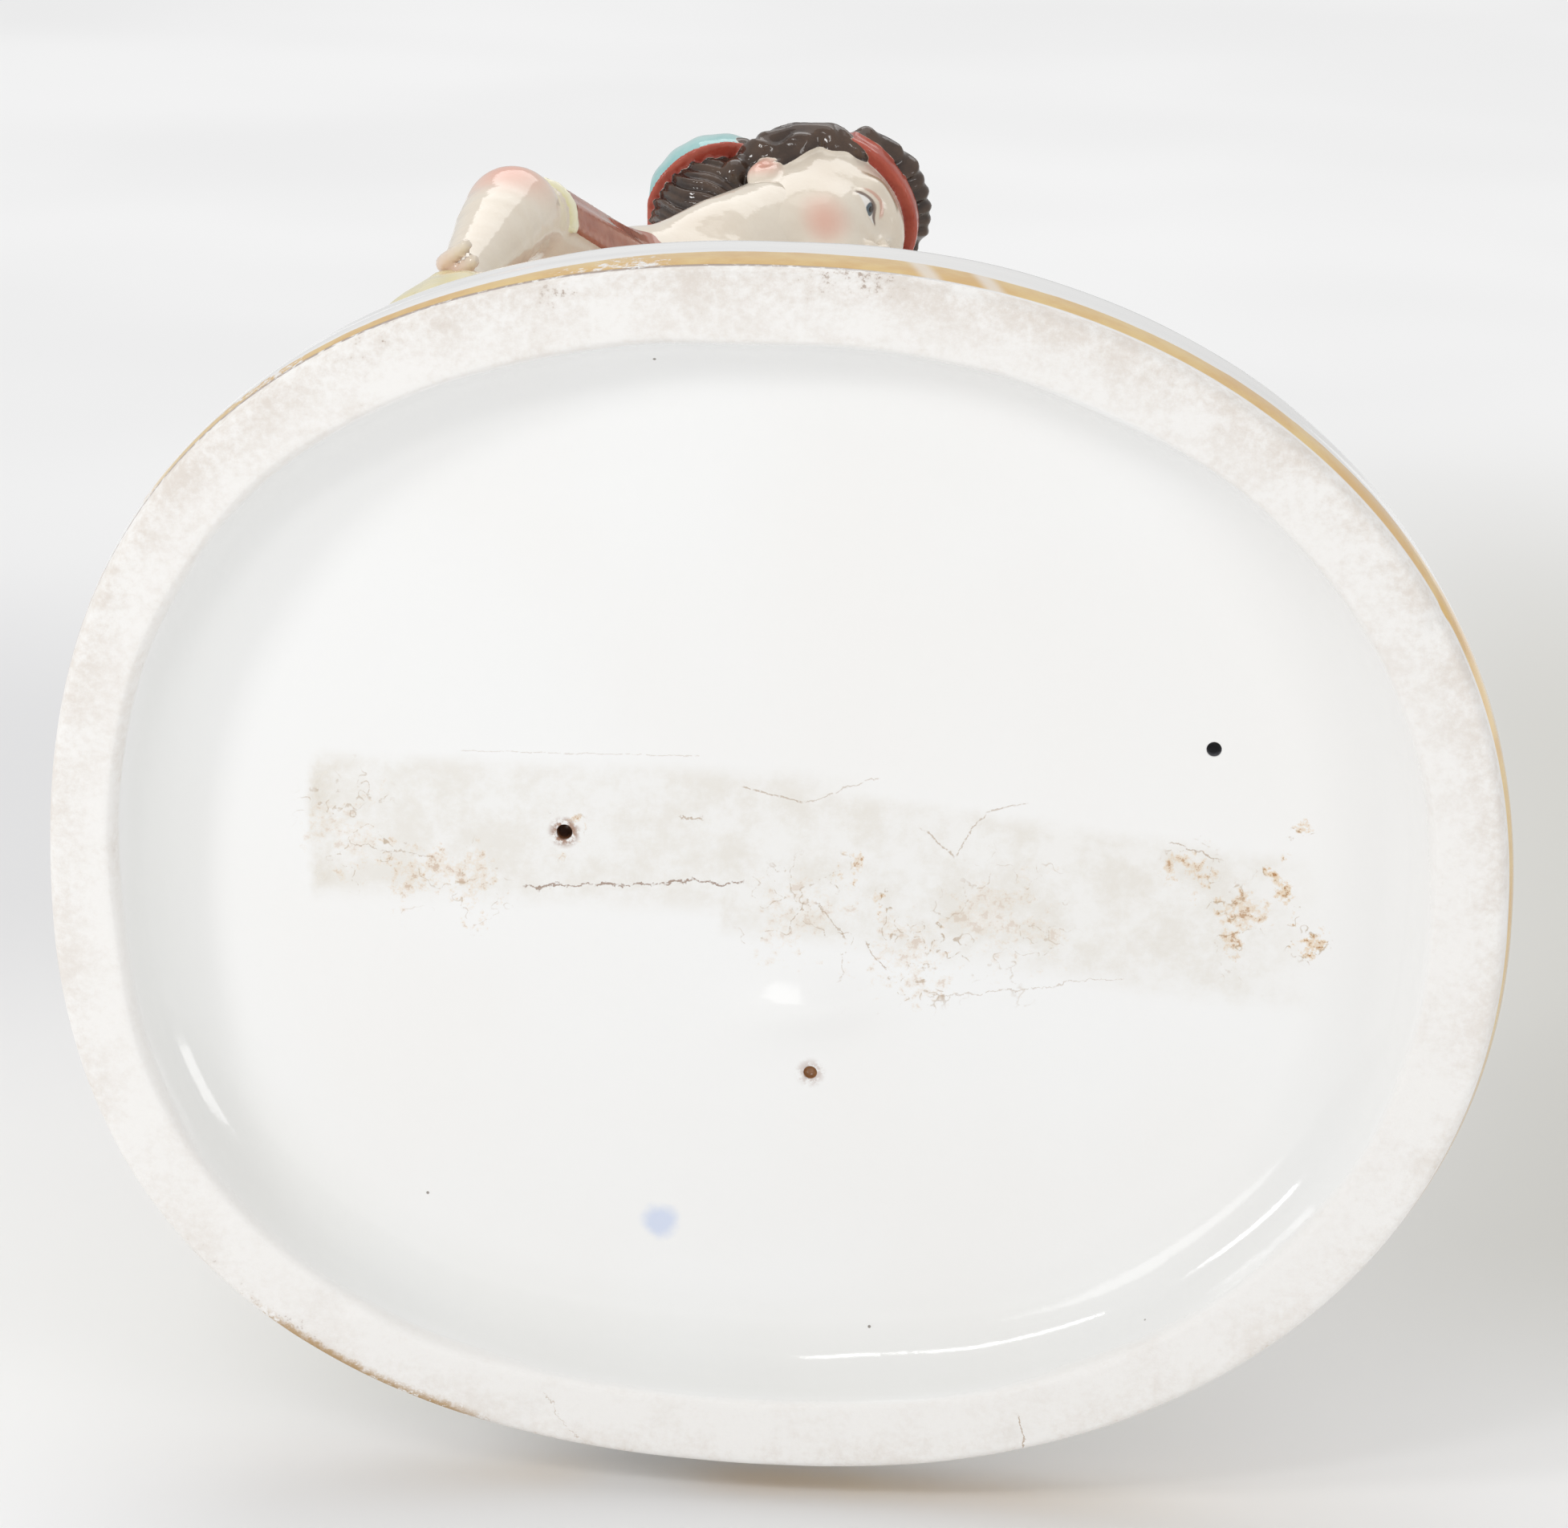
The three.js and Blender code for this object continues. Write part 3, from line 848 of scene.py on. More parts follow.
        def over(surface: Callable[[Array, Array], Array], radius: Array) -> Array:
            """Returns the height of a surface along a ring."""
            return surface(self.shift + radius * around[0], radius * around[1])

        rows = []
        for share in np.linspace(0.02, 0.96, 36) ** 0.75:
            radius = share * (reach - self.edge)
            rows.append((radius, over(self.ground, radius)))
        lip = over(self.ground, reach - self.edge)
        for inset, share in self.shoulder:
            rows.append((reach - inset, self.wall_top + (lip - self.wall_top) * share))
        for height in np.linspace(14.0, 3.5, 10):
            rows.append((reach + self.flare(angle, height), np.full_like(angle, height)))
        worn = 0.12 * np.sin(9 * angle + 1.0) + 0.1 * np.sin(23 * angle) + 0.07 * np.sin(41 * angle + 2.0)
        for inset, height in self.foot:
            outward = self.flare(angle, height) - inset - worn * (inset / 2.0)
            rows.append((reach + outward, np.full_like(angle, height)))
        inner = 0.25 * np.sin(5 * angle + 0.7) + 0.16 * np.sin(11 * angle) + 0.1 * np.sin(19 * angle + 1.3)
        inner = inner - 0.8 * np.maximum(-np.cos(angle), 0.0) ** 2
        outside, inside = self.rim
        for inset in np.linspace(outside, inside, 11):
            drawn = inner * (inset - outside) / (self.hollow[0][0] - outside)
            rows.append((reach - inset - drawn, 0.03 * np.sin(31 * angle + 5 * inset)))
        for inset, height in self.hollow:
            rows.append((reach - inset - inner, np.full_like(angle, height)))
        start = reach - self.hollow[-1][0] - inner
        for share in 1.0 - np.linspace(0.02, 0.985, 70):
            rows.append((share * start, over(self.ceiling, share * start)))
        return rows

    def ceiling(self, x: Array, y: Array) -> Array:
        """Returns the height of the recess's floor, which is nearly flat under thick glaze."""
        inset = self.inset(x, y)
        swell = 0.16 * np.sin(x / 21.0 + 0.5) * np.cos(y / 17.0 - 0.3) + 0.08 * np.sin(x / 9.5 - y / 12.0)
        run, rise = self.drip
        dip = -0.95 * np.exp(-((((x - run) + 0.6 * (y - rise)) / 7.5) ** 2 + ((y - rise) / 3.8) ** 2))
        settle = smooth_step(self.hollow[-1][0], 26.0, inset)
        return self.floor - 0.1 + (swell + dip + 0.1) * settle

    def build(self) -> Piece:
        """Builds the base as one closed skin, with its vents and nicks."""
        rows = self._rows()
        points = stack_rings(rows) + vec(self.shift, 0, 0)
        for x, y, size, depth in self.nicks:
            away = np.hypot(points[:, 0] - x, points[:, 1] - y)
            bite = depth * np.exp(-((away / size) ** 2)) * (points[:, 2] < 3.0)
            points[:, 2] += bite * (1.0 + 0.35 * np.sin(points[:, 0] * 7.0) * np.cos(points[:, 1] * 6.0))
        faces = np.roll(ring_faces(len(rows), self.sides)[:, ::-1], 1, axis=1)
        piece = make_piece("plinth", points, faces)
        self._open_vents(piece.data, len(rows))
        spots = np.empty(len(piece.data.vertices) * 3, dtype=np.float32)
        piece.data.vertices.foreach_get("co", spots)
        spots = spots.reshape(-1, 3) / MM
        put_values(piece.data, {"inset": self.inset(spots[:, 0], spots[:, 1])})
        middles = np.empty(len(piece.data.polygons) * 3, dtype=np.float32)
        piece.data.polygons.foreach_get("center", middles)
        x, y, z = middles.reshape(-1, 3).T / MM
        (left, right), (front, back) = self.soiled
        soiled = (x > left) & (x < right) & (y > front) & (y < back)
        soiled &= (z > 0.0) & (z < self.wall_top) & (self.inset(x, y) > self.corner)
        piece.data.polygons.foreach_set("material_index", soiled.astype(np.int32))
        return piece

    def _open_vents(self, mesh: bpy.types.Mesh, ring_count: int) -> None:
        """Closes the two middles and cuts the vents.

        Args:
            mesh: The base as stacked rings.
            ring_count: How many rings it has.
        """
        work = bmesh.new()
        work.from_mesh(mesh)
        every = list(work.verts)
        for first in (0, (ring_count - 1) * self.sides):
            loop = every[first : first + self.sides]
            middle = work.verts.new(sum((v.co for v in loop), Vector()) / self.sides)
            for a, b in zip(loop, loop[1:] + loop[:1]):
                work.faces.new((a, b, middle))
        for x, y, radius, depth in self.vents:
            self._open_vent(work, Vector((x, y)) * MM, radius * MM, depth)
        for face in work.faces:
            face.smooth = True
        bmesh.ops.recalc_face_normals(work, faces=work.faces)
        work.to_mesh(mesh)
        work.free()

    def _open_vent(self, work: bmesh.types.BMesh, spot: Vector, radius: float, depth: float) -> None:
        """Cuts one vent into the recess's floor.

        Args:
            work: The base.
            spot: The middle of the vent, in metres.
            radius: Its radius, in metres.
            depth: Its depth, in millimetres.
        """
        floor = [v for v in work.verts if 7.0 * MM < v.co.z < 9.5 * MM]
        close = [v for v in floor if (v.co.xy - spot).length < radius + 1.1 * MM]
        level = sum(v.co.z for v in close) / len(close)
        bmesh.ops.delete(work, geom=close, context="VERTS")
        near = radius + 3.0 * MM
        rim = [e for e in work.edges if e.is_boundary and (e.verts[0].co.xy - spot).length < near]
        mouth = [(0.2, 0.0), (0.06, 0.01), (0.0, 0.06), (-0.01, 0.22)]
        steps = [*mouth, (-0.04, 0.22 + 0.4 * depth), (-0.08, depth)]
        turns = [2 * math.pi * i / self.vent_sides for i in range(self.vent_sides)]
        rings = []
        for out, rise in steps:
            reach = radius + out * MM
            flat = [Vector((math.cos(a), math.sin(a))) * reach + spot for a in turns]
            rings.append([work.verts.new((v.x, v.y, level + rise * MM)) for v in flat])
        edges = [work.edges.new((a, b)) for a, b in zip(rings[0], rings[0][1:] + rings[0][:1])]
        bmesh.ops.triangle_fill(work, use_beauty=True, edges=rim + edges, normal=(0, 0, -1))
        for low, high in zip(rings, rings[1:]):
            for i in range(self.vent_sides):
                j = (i + 1) % self.vent_sides
                work.faces.new((low[i], low[j], high[j], high[i]))
        work.faces.new(rings[-1])


@dataclass(frozen=True)
class Crack:
    """A fine crack: where it starts and ends, its width, how much it wanders and how dark it is."""

    start: tuple[float, float]
    end: tuple[float, float]
    width: float = 0.1
    wander: float = 0.8
    strength: float = 0.5

    def mask(self, sheet: Sheet, where: Socket, wave: Value) -> Value:
        """Works out where the crack is.

        Args:
            sheet: The material's sheet.
            where: The place on the piece.
            wave: How it wanders, between about -0.5 and 0.5.

        Returns:
            Its strength on the crack and 0 away from it.
        """
        run = np.subtract(self.end, self.start)
        half = float(np.hypot(*run)) / 2.0
        middle = np.add(self.start, self.end) / 2.0
        turned = {"Location": (*middle, 0.0), "Rotation": (0.0, 0.0, math.atan2(run[1], run[0]))}
        local = sheet.node("ShaderNodeMapping", {"vector_type": "TEXTURE"}, {"Vector": where, **turned})
        parts = sheet.node("ShaderNodeSeparateXYZ", None, {0: local.outputs[0]})
        along, across = (Value(sheet, parts.outputs[i]) for i in range(2))
        away = (across + wave * (2.0 * self.wander)).size()
        return along.size().rise(half, half - 0.6) * away.rise(self.width, self.width * 0.35) * self.strength


@dataclass(frozen=True)
class PlinthFinish:
    """The base's glaze, its bare rim, its worn gilding, the dirt and glue of long use, and painted shade
    in the recess's corner and in the vents.

    A patch of dirt is its x and y, its size, and how many crumbs and threads it has. A smudge is its spot,
    how far it reaches, how far it is full, and its strength. A vent is given the colour of its bore,
    which is painted shade, with dirt in two of them, and how much dirt lies round it.
    """

    DARK: ClassVar[float] = 0.7

    glaze: tuple[Colour, Colour] = (tint(247, 247, 246), tint(246, 245, 243))
    grass: Colour = tint(168, 182, 120)
    earth: Colour = tint(176, 146, 104)
    biscuit: Colour = tint(247, 245, 242)
    grime: Colour = tint(212, 198, 184)
    brown: Colour = tint(142, 112, 88)
    gold: tuple[Colour, Colour] = (tint(230, 182, 98), tint(242, 206, 128))
    crust: Colour = tint(182, 146, 94)
    stain: Colour = tint(150, 104, 72)
    speck: Colour = tint(110, 96, 84)
    hairs: tuple[Colour, Colour] = (tint(158, 120, 70), tint(134, 96, 66))
    film: Colour = tint(226, 220, 209)
    # greenish pooled glaze with painted shade, for the recess's corner
    hollow_shade: Colour = tint(222, 224, 216)
    cobalt: Colour = tint(150, 180, 236)
    specks: float = 0.085
    sway: float = 7.5
    gaps: tuple[float, ...] = (17.7, 25.1)
    smudges: tuple[tuple[Point, float, float, float], ...] = (
        ((7.0, -73.0, 0.0), 9.0, 2.0, 1.0),
        ((-26.0, -70.5, 0.0), 5.0, 1.0, 1.0),
        ((-48.0, -63.0, 0.0), 16.0, 3.0, 0.6),
        ((-57.0, 52.0, 0.0), 17.0, 6.0, 0.8),
    )
    # bore colours: the first is grey painted shade, the other two are dirt darkened as painted shade
    bore_dirt_and_shade: tuple[tuple[Colour, float], ...] = (
        (tint(140, 140, 144), 0.0),
        (tint(112, 80, 62), 0.9),
        (tint(178, 132, 90), 0.4),
    )
    rim_cracks: tuple[Crack, ...] = (
        Crack((31.5, 66.0), (33.5, 76.0), 0.12, 0.8, 0.6),
        Crack((-22.5, 72.5), (-27.5, 66.5), 0.13, 2.2, 0.35),
    )
    cracks: tuple[Crack, ...] = (
        Crack((-31.4, 3.6), (-4.0, 1.6), 0.2, 1.5, 0.75),
        Crack((-4.8, -10.3), (2.9, -8.5), 0.13, 0.5, 0.5),
        Crack((2.9, -8.5), (12.1, -12.3), 0.11, 0.9, 0.35),
        Crack((16.9, -6.2), (21.6, -2.6), 0.13, 0.9, 0.5),
        Crack((21.2, -2.6), (24.7, -8.5), 0.12, 1.0, 0.45),
        Crack((24.7, -8.5), (30.1, -9.9), 0.12, 0.6, 0.45),
        Crack((1.2, 7.9), (3.1, 3.6), 0.12, 1.0, 0.45),
        Crack((4.5, 3.6), (8.4, 8.7), 0.13, 1.2, 0.45),
        Crack((10.5, 8.6), (13.6, 12.4), 0.16, 1.4, 0.5),
        Crack((18.4, 15.6), (42.5, 11.8), 0.11, 1.3, 0.35),
        Crack((-53.0, -1.1), (-41.9, 0.4), 0.11, 1.4, 0.4),
        Crack((46.9, -5.7), (53.4, -3.6), 0.14, 1.2, 0.55),
        Crack((-12.4, -5.9), (-9.2, -6.5), 0.16, 1.6, 0.55),
        Crack((-39.1, -13.3), (-9.3, -13.9), 0.09, 0.5, 0.25),
    )
    rust: tuple[Colour, Colour, Colour] = (tint(224, 190, 140), tint(180, 130, 76), tint(168, 136, 94))
    dirt: tuple[tuple[float, float, float, float, float], ...] = (
        (60.5, -1.0, 4.5, 1.0, 1.0),
        (64.3, 5.0, 4.5, 1.0, 1.0),
        (55.0, 4.0, 5.0, 0.7, 1.0),
        (49.8, -2.0, 5.0, 0.7, 0.8),
        (62.4, -8.3, 2.6, 0.8, 0.8),
        (7.3, 0.8, 3.2, 0.7, 0.6),
        (12.0, 4.4, 3.2, 0.7, 0.6),
        (15.0, 10.0, 10.0, 0.25, 0.9),
        (2.0, 6.0, 9.0, 0.2, 0.8),
        (27.0, 5.0, 12.0, 0.2, 0.6),
        (-47.6, 3.0, 8.0, 0.4, 0.8),
        (-38.0, 2.5, 7.0, 0.4, 0.6),
        (-26.2, -3.4, 3.6, 0.7, 0.5),
        (-53.0, -4.0, 8.0, 0.2, 0.8),
    )

    def make(self) -> tuple[Material, Material]:
        """Mixes the finish of most of the base, and that of the soiled middle of the recess."""
        return self._outside(), self._soiled()

    def _outside(self) -> Material:
        """Mixes glaze, ground paint, gilding, the bare rim, and pooled glaze and painted shade in the recess.
        """
        sheet = Sheet("plinth_glaze")
        where, x, y, z = sheet.place()
        inset = sheet.number("inset")
        cloud, fine = self._clouds(sheet, where)
        grain = sheet.noise(where, 3.5, 3.0, 0.6)
        colour = self._glazed(sheet, where)

        # ground paint above
        above = z.rise(18.0, 20.5) * inset.rise(1.0, 5.0)
        grass = above * sheet.noise(where, 0.045, 4.0, 0.7).rise(0.47, 0.62)
        colour = sheet.mix(grass * 0.55, colour, self.grass)
        earth = above * sheet.noise(where, 0.07, 4.0, 0.7).rise(0.55, 0.68)
        colour = sheet.mix(earth * 0.5, colour, self.earth)

        # gilt band
        thin = x.rise(-8.0, -46.0) * 4.6 + x.rise(12.0, 30.0) * 1.4 + (cloud - 0.5) * 1.6
        wall = z.rise(2.3, 2.9) * (z + thin).rise(10.1, 9.5) * inset.rise(1.6, 1.2)
        worn = sheet.noise(where, 0.03, 3.0, 0.6) + (fine - 0.5) * 0.4 + x * 0.0014 - y * 0.0006
        gilt = wall * worn.rise(0.3, 0.38)
        for gap in self.gaps:
            gilt = gilt * (1.0 - (x + z * 0.3 - gap).size().rise(1.9, 0.3) * 0.6)
        colour = sheet.mix(gilt, colour, sheet.mix(cloud.rise(0.35, 0.65), *self.gold))
        edge_line = z.rise(1.4, 1.9) * z.rise(3.1, 2.5) * inset.rise(1.8, 1.0)
        colour = sheet.mix(edge_line * fine.rise(0.36, 0.5) * x.rise(30.0, -10.0) * 0.8, colour, self.brown)

        # bare rim
        rim_in = inset + (sheet.noise(where, 0.06, 3.0) - 0.5) * 1.4 + (fine - 0.5) * 0.5
        bare = z.rise(2.2, 1.7) * rim_in.rise(9.3, 8.5)
        far_side = y.rise(55.0, -65.0)
        outer = inset.rise(6.5, 1.0)
        soil = (cloud * 0.55 + fine * 0.45 + far_side * 0.03 + outer * 0.05).rise(0.45, 0.7)
        soil = soil * (0.3 + 0.25 * far_side) * (0.6 + 0.4 * outer)
        stone = sheet.mix(soil, self.biscuit, self.grime)
        near = (sheet.near(where, spot).rise(edge, full) * much for spot, edge, full, much in self.smudges)
        smudge = reduce(Value.most, near) * inset.rise(5.0, 1.0)
        spots = (fine * 0.75 + cloud * 0.35 + grain * 0.2 + smudge * 0.17).rise(0.82, 0.92)
        stone = sheet.mix(spots * (0.45 + 0.15 * far_side), stone, self.brown)
        colour = sheet.mix(bare, colour, stone)

        # crust along the outer edge at the back
        heavy = x.rise(-32.0, -40.0) * x.rise(-68.0, -58.0)
        crust = (inset + (fine - 0.5) * 3.0).rise(2.0, 0.7) * z.rise(4.6, 2.6) * y.rise(10.0, 50.0)
        crust = crust * (fine * 0.8 + cloud * 0.5 + heavy * 0.26).rise(0.74, 0.86) * (0.3 + 0.6 * heavy)
        colour = sheet.mix(crust, colour, self.crust)

        # pooled glaze with painted shade in the recess's corner, cracks in the rim, specks and one blue dab
        colour = self._pool_and_shade(sheet, x, y, z, inset, colour)
        colour = self._hairs(sheet, where, self.rim_cracks, inset.rise(0.2, 0.8), colour)
        below = self._below(z, inset)
        colour = self._speckled(sheet, where, below, colour)
        dab = sheet.near(where, (-14.0, 46.2, 8.0)) + (cloud - 0.5) * 3.0
        colour = sheet.mix(below * dab.rise(3.1, 1.4) * 0.4, colour, self.cobalt)

        roughness = 0.07 + 0.05 * cloud + bare * (0.55 + 0.15 * grain)
        normal = sheet.bump(cloud * 0.5 + bare * grain * 0.35, 0.12)
        return sheet.finish(colour, roughness, {"Metallic": gilt * 0.3, "Normal": normal})

    def _soiled(self) -> Material:
        """Mixes the glaze of the recess's middle, with old glue, dirt, cracks and the vents' insides, whose
        colours are painted shade, with dirt in two of them.
        """
        sheet = Sheet("soiled_glaze")
        where, x, y, z = sheet.place()
        inset = sheet.number("inset")
        cloud, fine = self._clouds(sheet, where)
        below = self._below(z, inset)
        colour = self._pool_and_shade(sheet, x, y, z, inset, self._glazed(sheet, where))
        film = self._film(sheet, where, x, y) * below
        dusty = sheet.noise(where, 0.16, 6.0, 0.72)
        colour = sheet.mix(film * (0.25 + 0.75 * dusty.rise(0.36, 0.66)), colour, self.film)
        colour = self._dirt(sheet, where, colour)
        colour = self._hairs(sheet, where, self.cracks, 1.0, colour)
        colour = self._speckled(sheet, where, below, colour)
        for (vx, vy, radius, _), (bore_tint, dirt) in zip(Plinth().vents, self.bore_dirt_and_shade):
            # painted shade inside each vent's bore, with dirt in two of them
            hole = sheet.near(where, (vx, vy, 12.0)).rise(4.4, 4.2) * z.rise(8.15, 8.4)
            colour = sheet.mix(hole, colour, bore_tint)
            stain = sheet.near(where, (vx, vy, 8.0)).rise(radius + 1.3, radius + 0.1)
            stain = stain * (fine + 0.1).rise(0.5, 0.66) * below * dirt
            colour = sheet.mix(stain, colour, self.stain)
        roughness = 0.07 + 0.05 * cloud + film * 0.22 * dusty.rise(0.3, 0.6)
        normal = sheet.bump(cloud * 0.5 + film * dusty * 0.25, 0.12)
        return sheet.finish(colour, roughness, {"Normal": normal})

    def _clouds(self, sheet: Sheet, where: Socket) -> tuple[Value, Value]:
        """Returns the broad and the fine unevenness of the finish."""
        return sheet.noise(where, 0.12, 5.0, 0.65), sheet.noise(where, 0.9, 5.0, 0.7)

    def _below(self, z: Value, inset: Value) -> Value:
        """Returns 1 on the floor of the recess."""
        return z.rise(9.5, 9.0) * inset.rise(7.0, 9.0)

    def _glazed(self, sheet: Sheet, where: Socket) -> Socket:
        """Returns the colour of clean glaze."""
        return sheet.mix(sheet.noise(where, 0.02, 2.0).rise(0.35, 0.7), *self.glaze)

    def _pool_and_shade(self, sheet: Sheet, x: Value, y: Value, z: Value, inset: Value, colour: Socket) -> Socket:
        """Tints the colour in the recess's corner with greenish pooled glaze and painted shade, and returns
        it.
        """
        pool_and_shade = inset.rise(8.4, 9.8) * inset.rise(22.0, 12.0) * (y - x * 0.6).rise(-60.0, 70.0)
        return sheet.mix(pool_and_shade * z.rise(9.5, 9.0) * 0.18, colour, self.hollow_shade)

    def _speckled(self, sheet: Sheet, where: Socket, below: Value, colour: Socket) -> Socket:
        """Strews a few dark specks over the colour, and returns it."""
        cells = sheet.node("ShaderNodeTexVoronoi", None, {"Vector": where, "Scale": self.specks})
        spot, lucky = (Value(sheet, cells.outputs[what]) for what in ("Distance", "Color"))
        specks = below * lucky.rise(0.5, 0.55) * spot.rise(0.022, 0.012) * 0.8
        return sheet.mix(specks, colour, self.speck)

    def _hairs(
        self, sheet: Sheet, where: Socket, cracks: tuple[Crack, ...], cover: Amount, colour: Socket
    ) -> Socket:
        """Draws cracks over the colour.

        Args:
            sheet: The material's sheet.
            where: The place on the piece.
            cracks: The cracks.
            cover: 1 where cracks may show.
            colour: The colour so far.

        Returns:
            The new colour.
        """
        wave = sheet.noise(where, 0.35, 4.0, 0.7) - 0.5
        broken = sheet.noise(where, 1.6, 1.0).rise(0.3, 0.5)
        for dark, hue in zip((False, True), self.hairs):
            drawn = [crack for crack in cracks if (crack.strength > self.DARK) is dark]
            masks = [crack.mask(sheet, where, wave) for crack in drawn]
            if masks:
                colour = sheet.mix(reduce(Value.most, masks) * broken * cover, colour, hue)
        return colour

    def _film(self, sheet: Sheet, where: Socket, x: Value, y: Value) -> Value:
        """Returns the two smears of old glue: 1 on them, with soft ragged edges."""
        ragged = (sheet.noise(where, 0.1, 5.0, 0.7) - 0.5) * 7.0
        left = self._smear(x, y, ragged * 0.5, ((-57.6, 8.0), (-12.6, 6.0)), 0.0)
        right = self._smear(x, y, ragged, ((-8.0, 64.0), (-11.0, 9.0)), 0.1)
        edge = x.rise(-53.0, -57.0) * 0.45 + 0.55
        return (left * edge).most(right * 0.6)

    def _smear(self, x: Value, y: Value, ragged: Value, box: tuple, slope: float) -> Value:
        """Returns 1 inside a soft-edged rectangle that slopes with x, and 0 outside."""
        (left, right), (low, high) = box
        level = y - x * slope + ragged * 0.5
        ends = x + ragged
        inside = ends.rise(left - 0.6, left + 1.2) * ends.rise(right + 4.0, right - 8.0)
        return inside * level.rise(low - 0.8, low + 2.2) * level.rise(high + 1.0, high - 3.0)

    def _dirt(self, sheet: Sheet, where: Socket, colour: Socket) -> Socket:
        """Lays patches of brown dirt over the colour, and returns the new colour."""
        sway = self.sway
        swirl = sheet.node("ShaderNodeTexNoise", None, {"Vector": where, "Scale": 0.13, "Detail": 3.0})
        moved = sheet.vector("MULTIPLY_ADD", swirl.outputs["Color"], (2 * sway, 2 * sway, 0.0), where)
        warped = sheet.vector("SUBTRACT", moved, (sway, sway, 0.0))
        broad = sheet.noise(where, 0.2, 5.0, 0.75)
        crumb = sheet.noise(where, 0.8, 4.0, 0.7)
        thread = (sheet.noise(where, 0.13, 3.0, 0.6) - 0.5).size().rise(0.009, 0.003)
        thread = thread * crumb.rise(0.45, 0.57)
        coarse, small = broad * 0.5 + crumb * 0.5, broad * 0.35 + crumb * 0.65
        for x, y, size, crumbs, threads in self.dirt:
            near = sheet.near(warped, (x, y, 8.0)).rise(size, size * 0.15)
            here = near.rise(0.0, 0.4)
            stain = (coarse + near * 0.16).rise(0.6, 0.7) * here
            colour = sheet.mix(stain * (crumbs * 0.6), colour, self.rust[0])
            dots = (small + near * 0.12).rise(0.66, 0.73) * here
            colour = sheet.mix(dots * crumbs, colour, self.rust[1])
            colour = sheet.mix(here * thread * (threads * 0.5), colour, self.rust[2])
        return colour


class Paint(Enum):
    """The enamel colours of the figures. Each value is its colour, a second tone, and how matt it is."""

    WHITE = (tint(242, 241, 237), tint(246, 246, 243), 0.09)
    FLESH = (tint(230, 218, 201), tint(236, 226, 210), 0.1)
    HAIR = (tint(50, 39, 34), tint(88, 70, 58), 0.1)
    RIBBON = (tint(158, 62, 48), tint(186, 92, 74), 0.14)
    TEAL = (tint(132, 190, 190), tint(176, 214, 212), 0.12)
    PUCE = (tint(148, 84, 68), tint(180, 122, 102), 0.14)
    YELLOW = (tint(233, 226, 178), tint(242, 238, 212), 0.12)
    PINK = (tint(222, 150, 156), tint(238, 196, 196), 0.12)
    BLUE = (tint(130, 160, 200), tint(178, 198, 222), 0.12)
    STRAW = (tint(206, 172, 108), tint(224, 198, 146), 0.2)
    BARK = (tint(150, 124, 92), tint(206, 190, 160), 0.2)
    BLACK = (tint(44, 38, 36), tint(70, 60, 56), 0.12)
    GOLD = (tint(206, 158, 92), tint(226, 190, 122), 0.3)
    FAIR = (tint(150, 112, 74), tint(184, 146, 102), 0.16)

    @property
    def label(self) -> str:
        """Returns the name that its cover is stored under with a mesh's points."""
        return self.name.lower()


@dataclass(frozen=True)
class Blush:
    """A soft round breath of colour at a spot on the skin, in millimetres."""

    spot: Point
    size: float
    strength: float
    colour: Colour = tint(232, 134, 112)


@dataclass
class Enamels:
    """A painted finish for one piece, in the order that the paints are laid on."""

    name: str
    ground: Paint
    paints: tuple[Paint, ...]
    blushes: tuple[Blush, ...] = ()
    washes: tuple["Wash", ...] = ()
    sprigs: "Sprigs | None" = None
    sprig_cloth: Paint | None = None
    face: "Head | None" = None

    def make(self) -> Material:
        """Lays the paints side by side with painted shade in grooves, then washes, sprigs, blushes and the
        face.
        """
        sheet = Sheet(self.name)
        where, _, _, z = sheet.place()
        cloud = sheet.noise(where, 0.16, 4.0, 0.6)
        # painted shade in grooves: the colour goes towards grey-brown there, and each paint takes its deeper
        # tone
        hollow_shade = sheet.number("hollow")
        deep, thin, matt = self.ground.value
        colour = sheet.mix(cloud.rise(0.3, 0.7), deep, thin)
        colour = sheet.mix(hollow_shade.rise(0.01, 0.08) * 0.25, colour, tint(206, 196, 182))
        roughness = matt + (cloud - 0.5) * 0.04
        uneven = (sheet.noise(where, 0.5, 3.0) - 0.5) * 0.25
        for paint in self.paints:
            deep, thin, own = paint.value
            cover = (sheet.number(paint.label) + uneven).rise(-0.06, 0.06)
            tone = (cloud - hollow_shade * 3.0).rise(0.2, 0.75)
            colour = sheet.mix(cover, colour, sheet.mix(tone, deep, thin))
            roughness = roughness + cover * (own - matt)
        for wash in self.washes:
            colour = wash.lay(sheet, where, z, colour)
        if self.sprigs is not None:
            cover = sheet.number(self.sprig_cloth.label).rise(0.0, 0.5)
            colour = self.sprigs.draw(sheet, colour, cover)
        skin = 1.0
        if self.face is not None:
            skin = sheet.number(self.ground.label).rise(0.0, 0.2)
            colour = self.face.draw_face(sheet, colour, skin)
        for blush in self.blushes:
            near = sheet.near(where, blush.spot).rise(blush.size, blush.size * 0.1)
            colour = sheet.mix(near * blush.strength * skin, colour, blush.colour)
        normal = sheet.bump(sheet.noise(where, 0.35, 3.0), 0.08)
        return sheet.finish(colour, roughness, {"Normal": normal})


Lumps = tuple[tuple[Point, Point, float], ...]
Rods = tuple[tuple[Path, tuple[float, ...], float], ...]


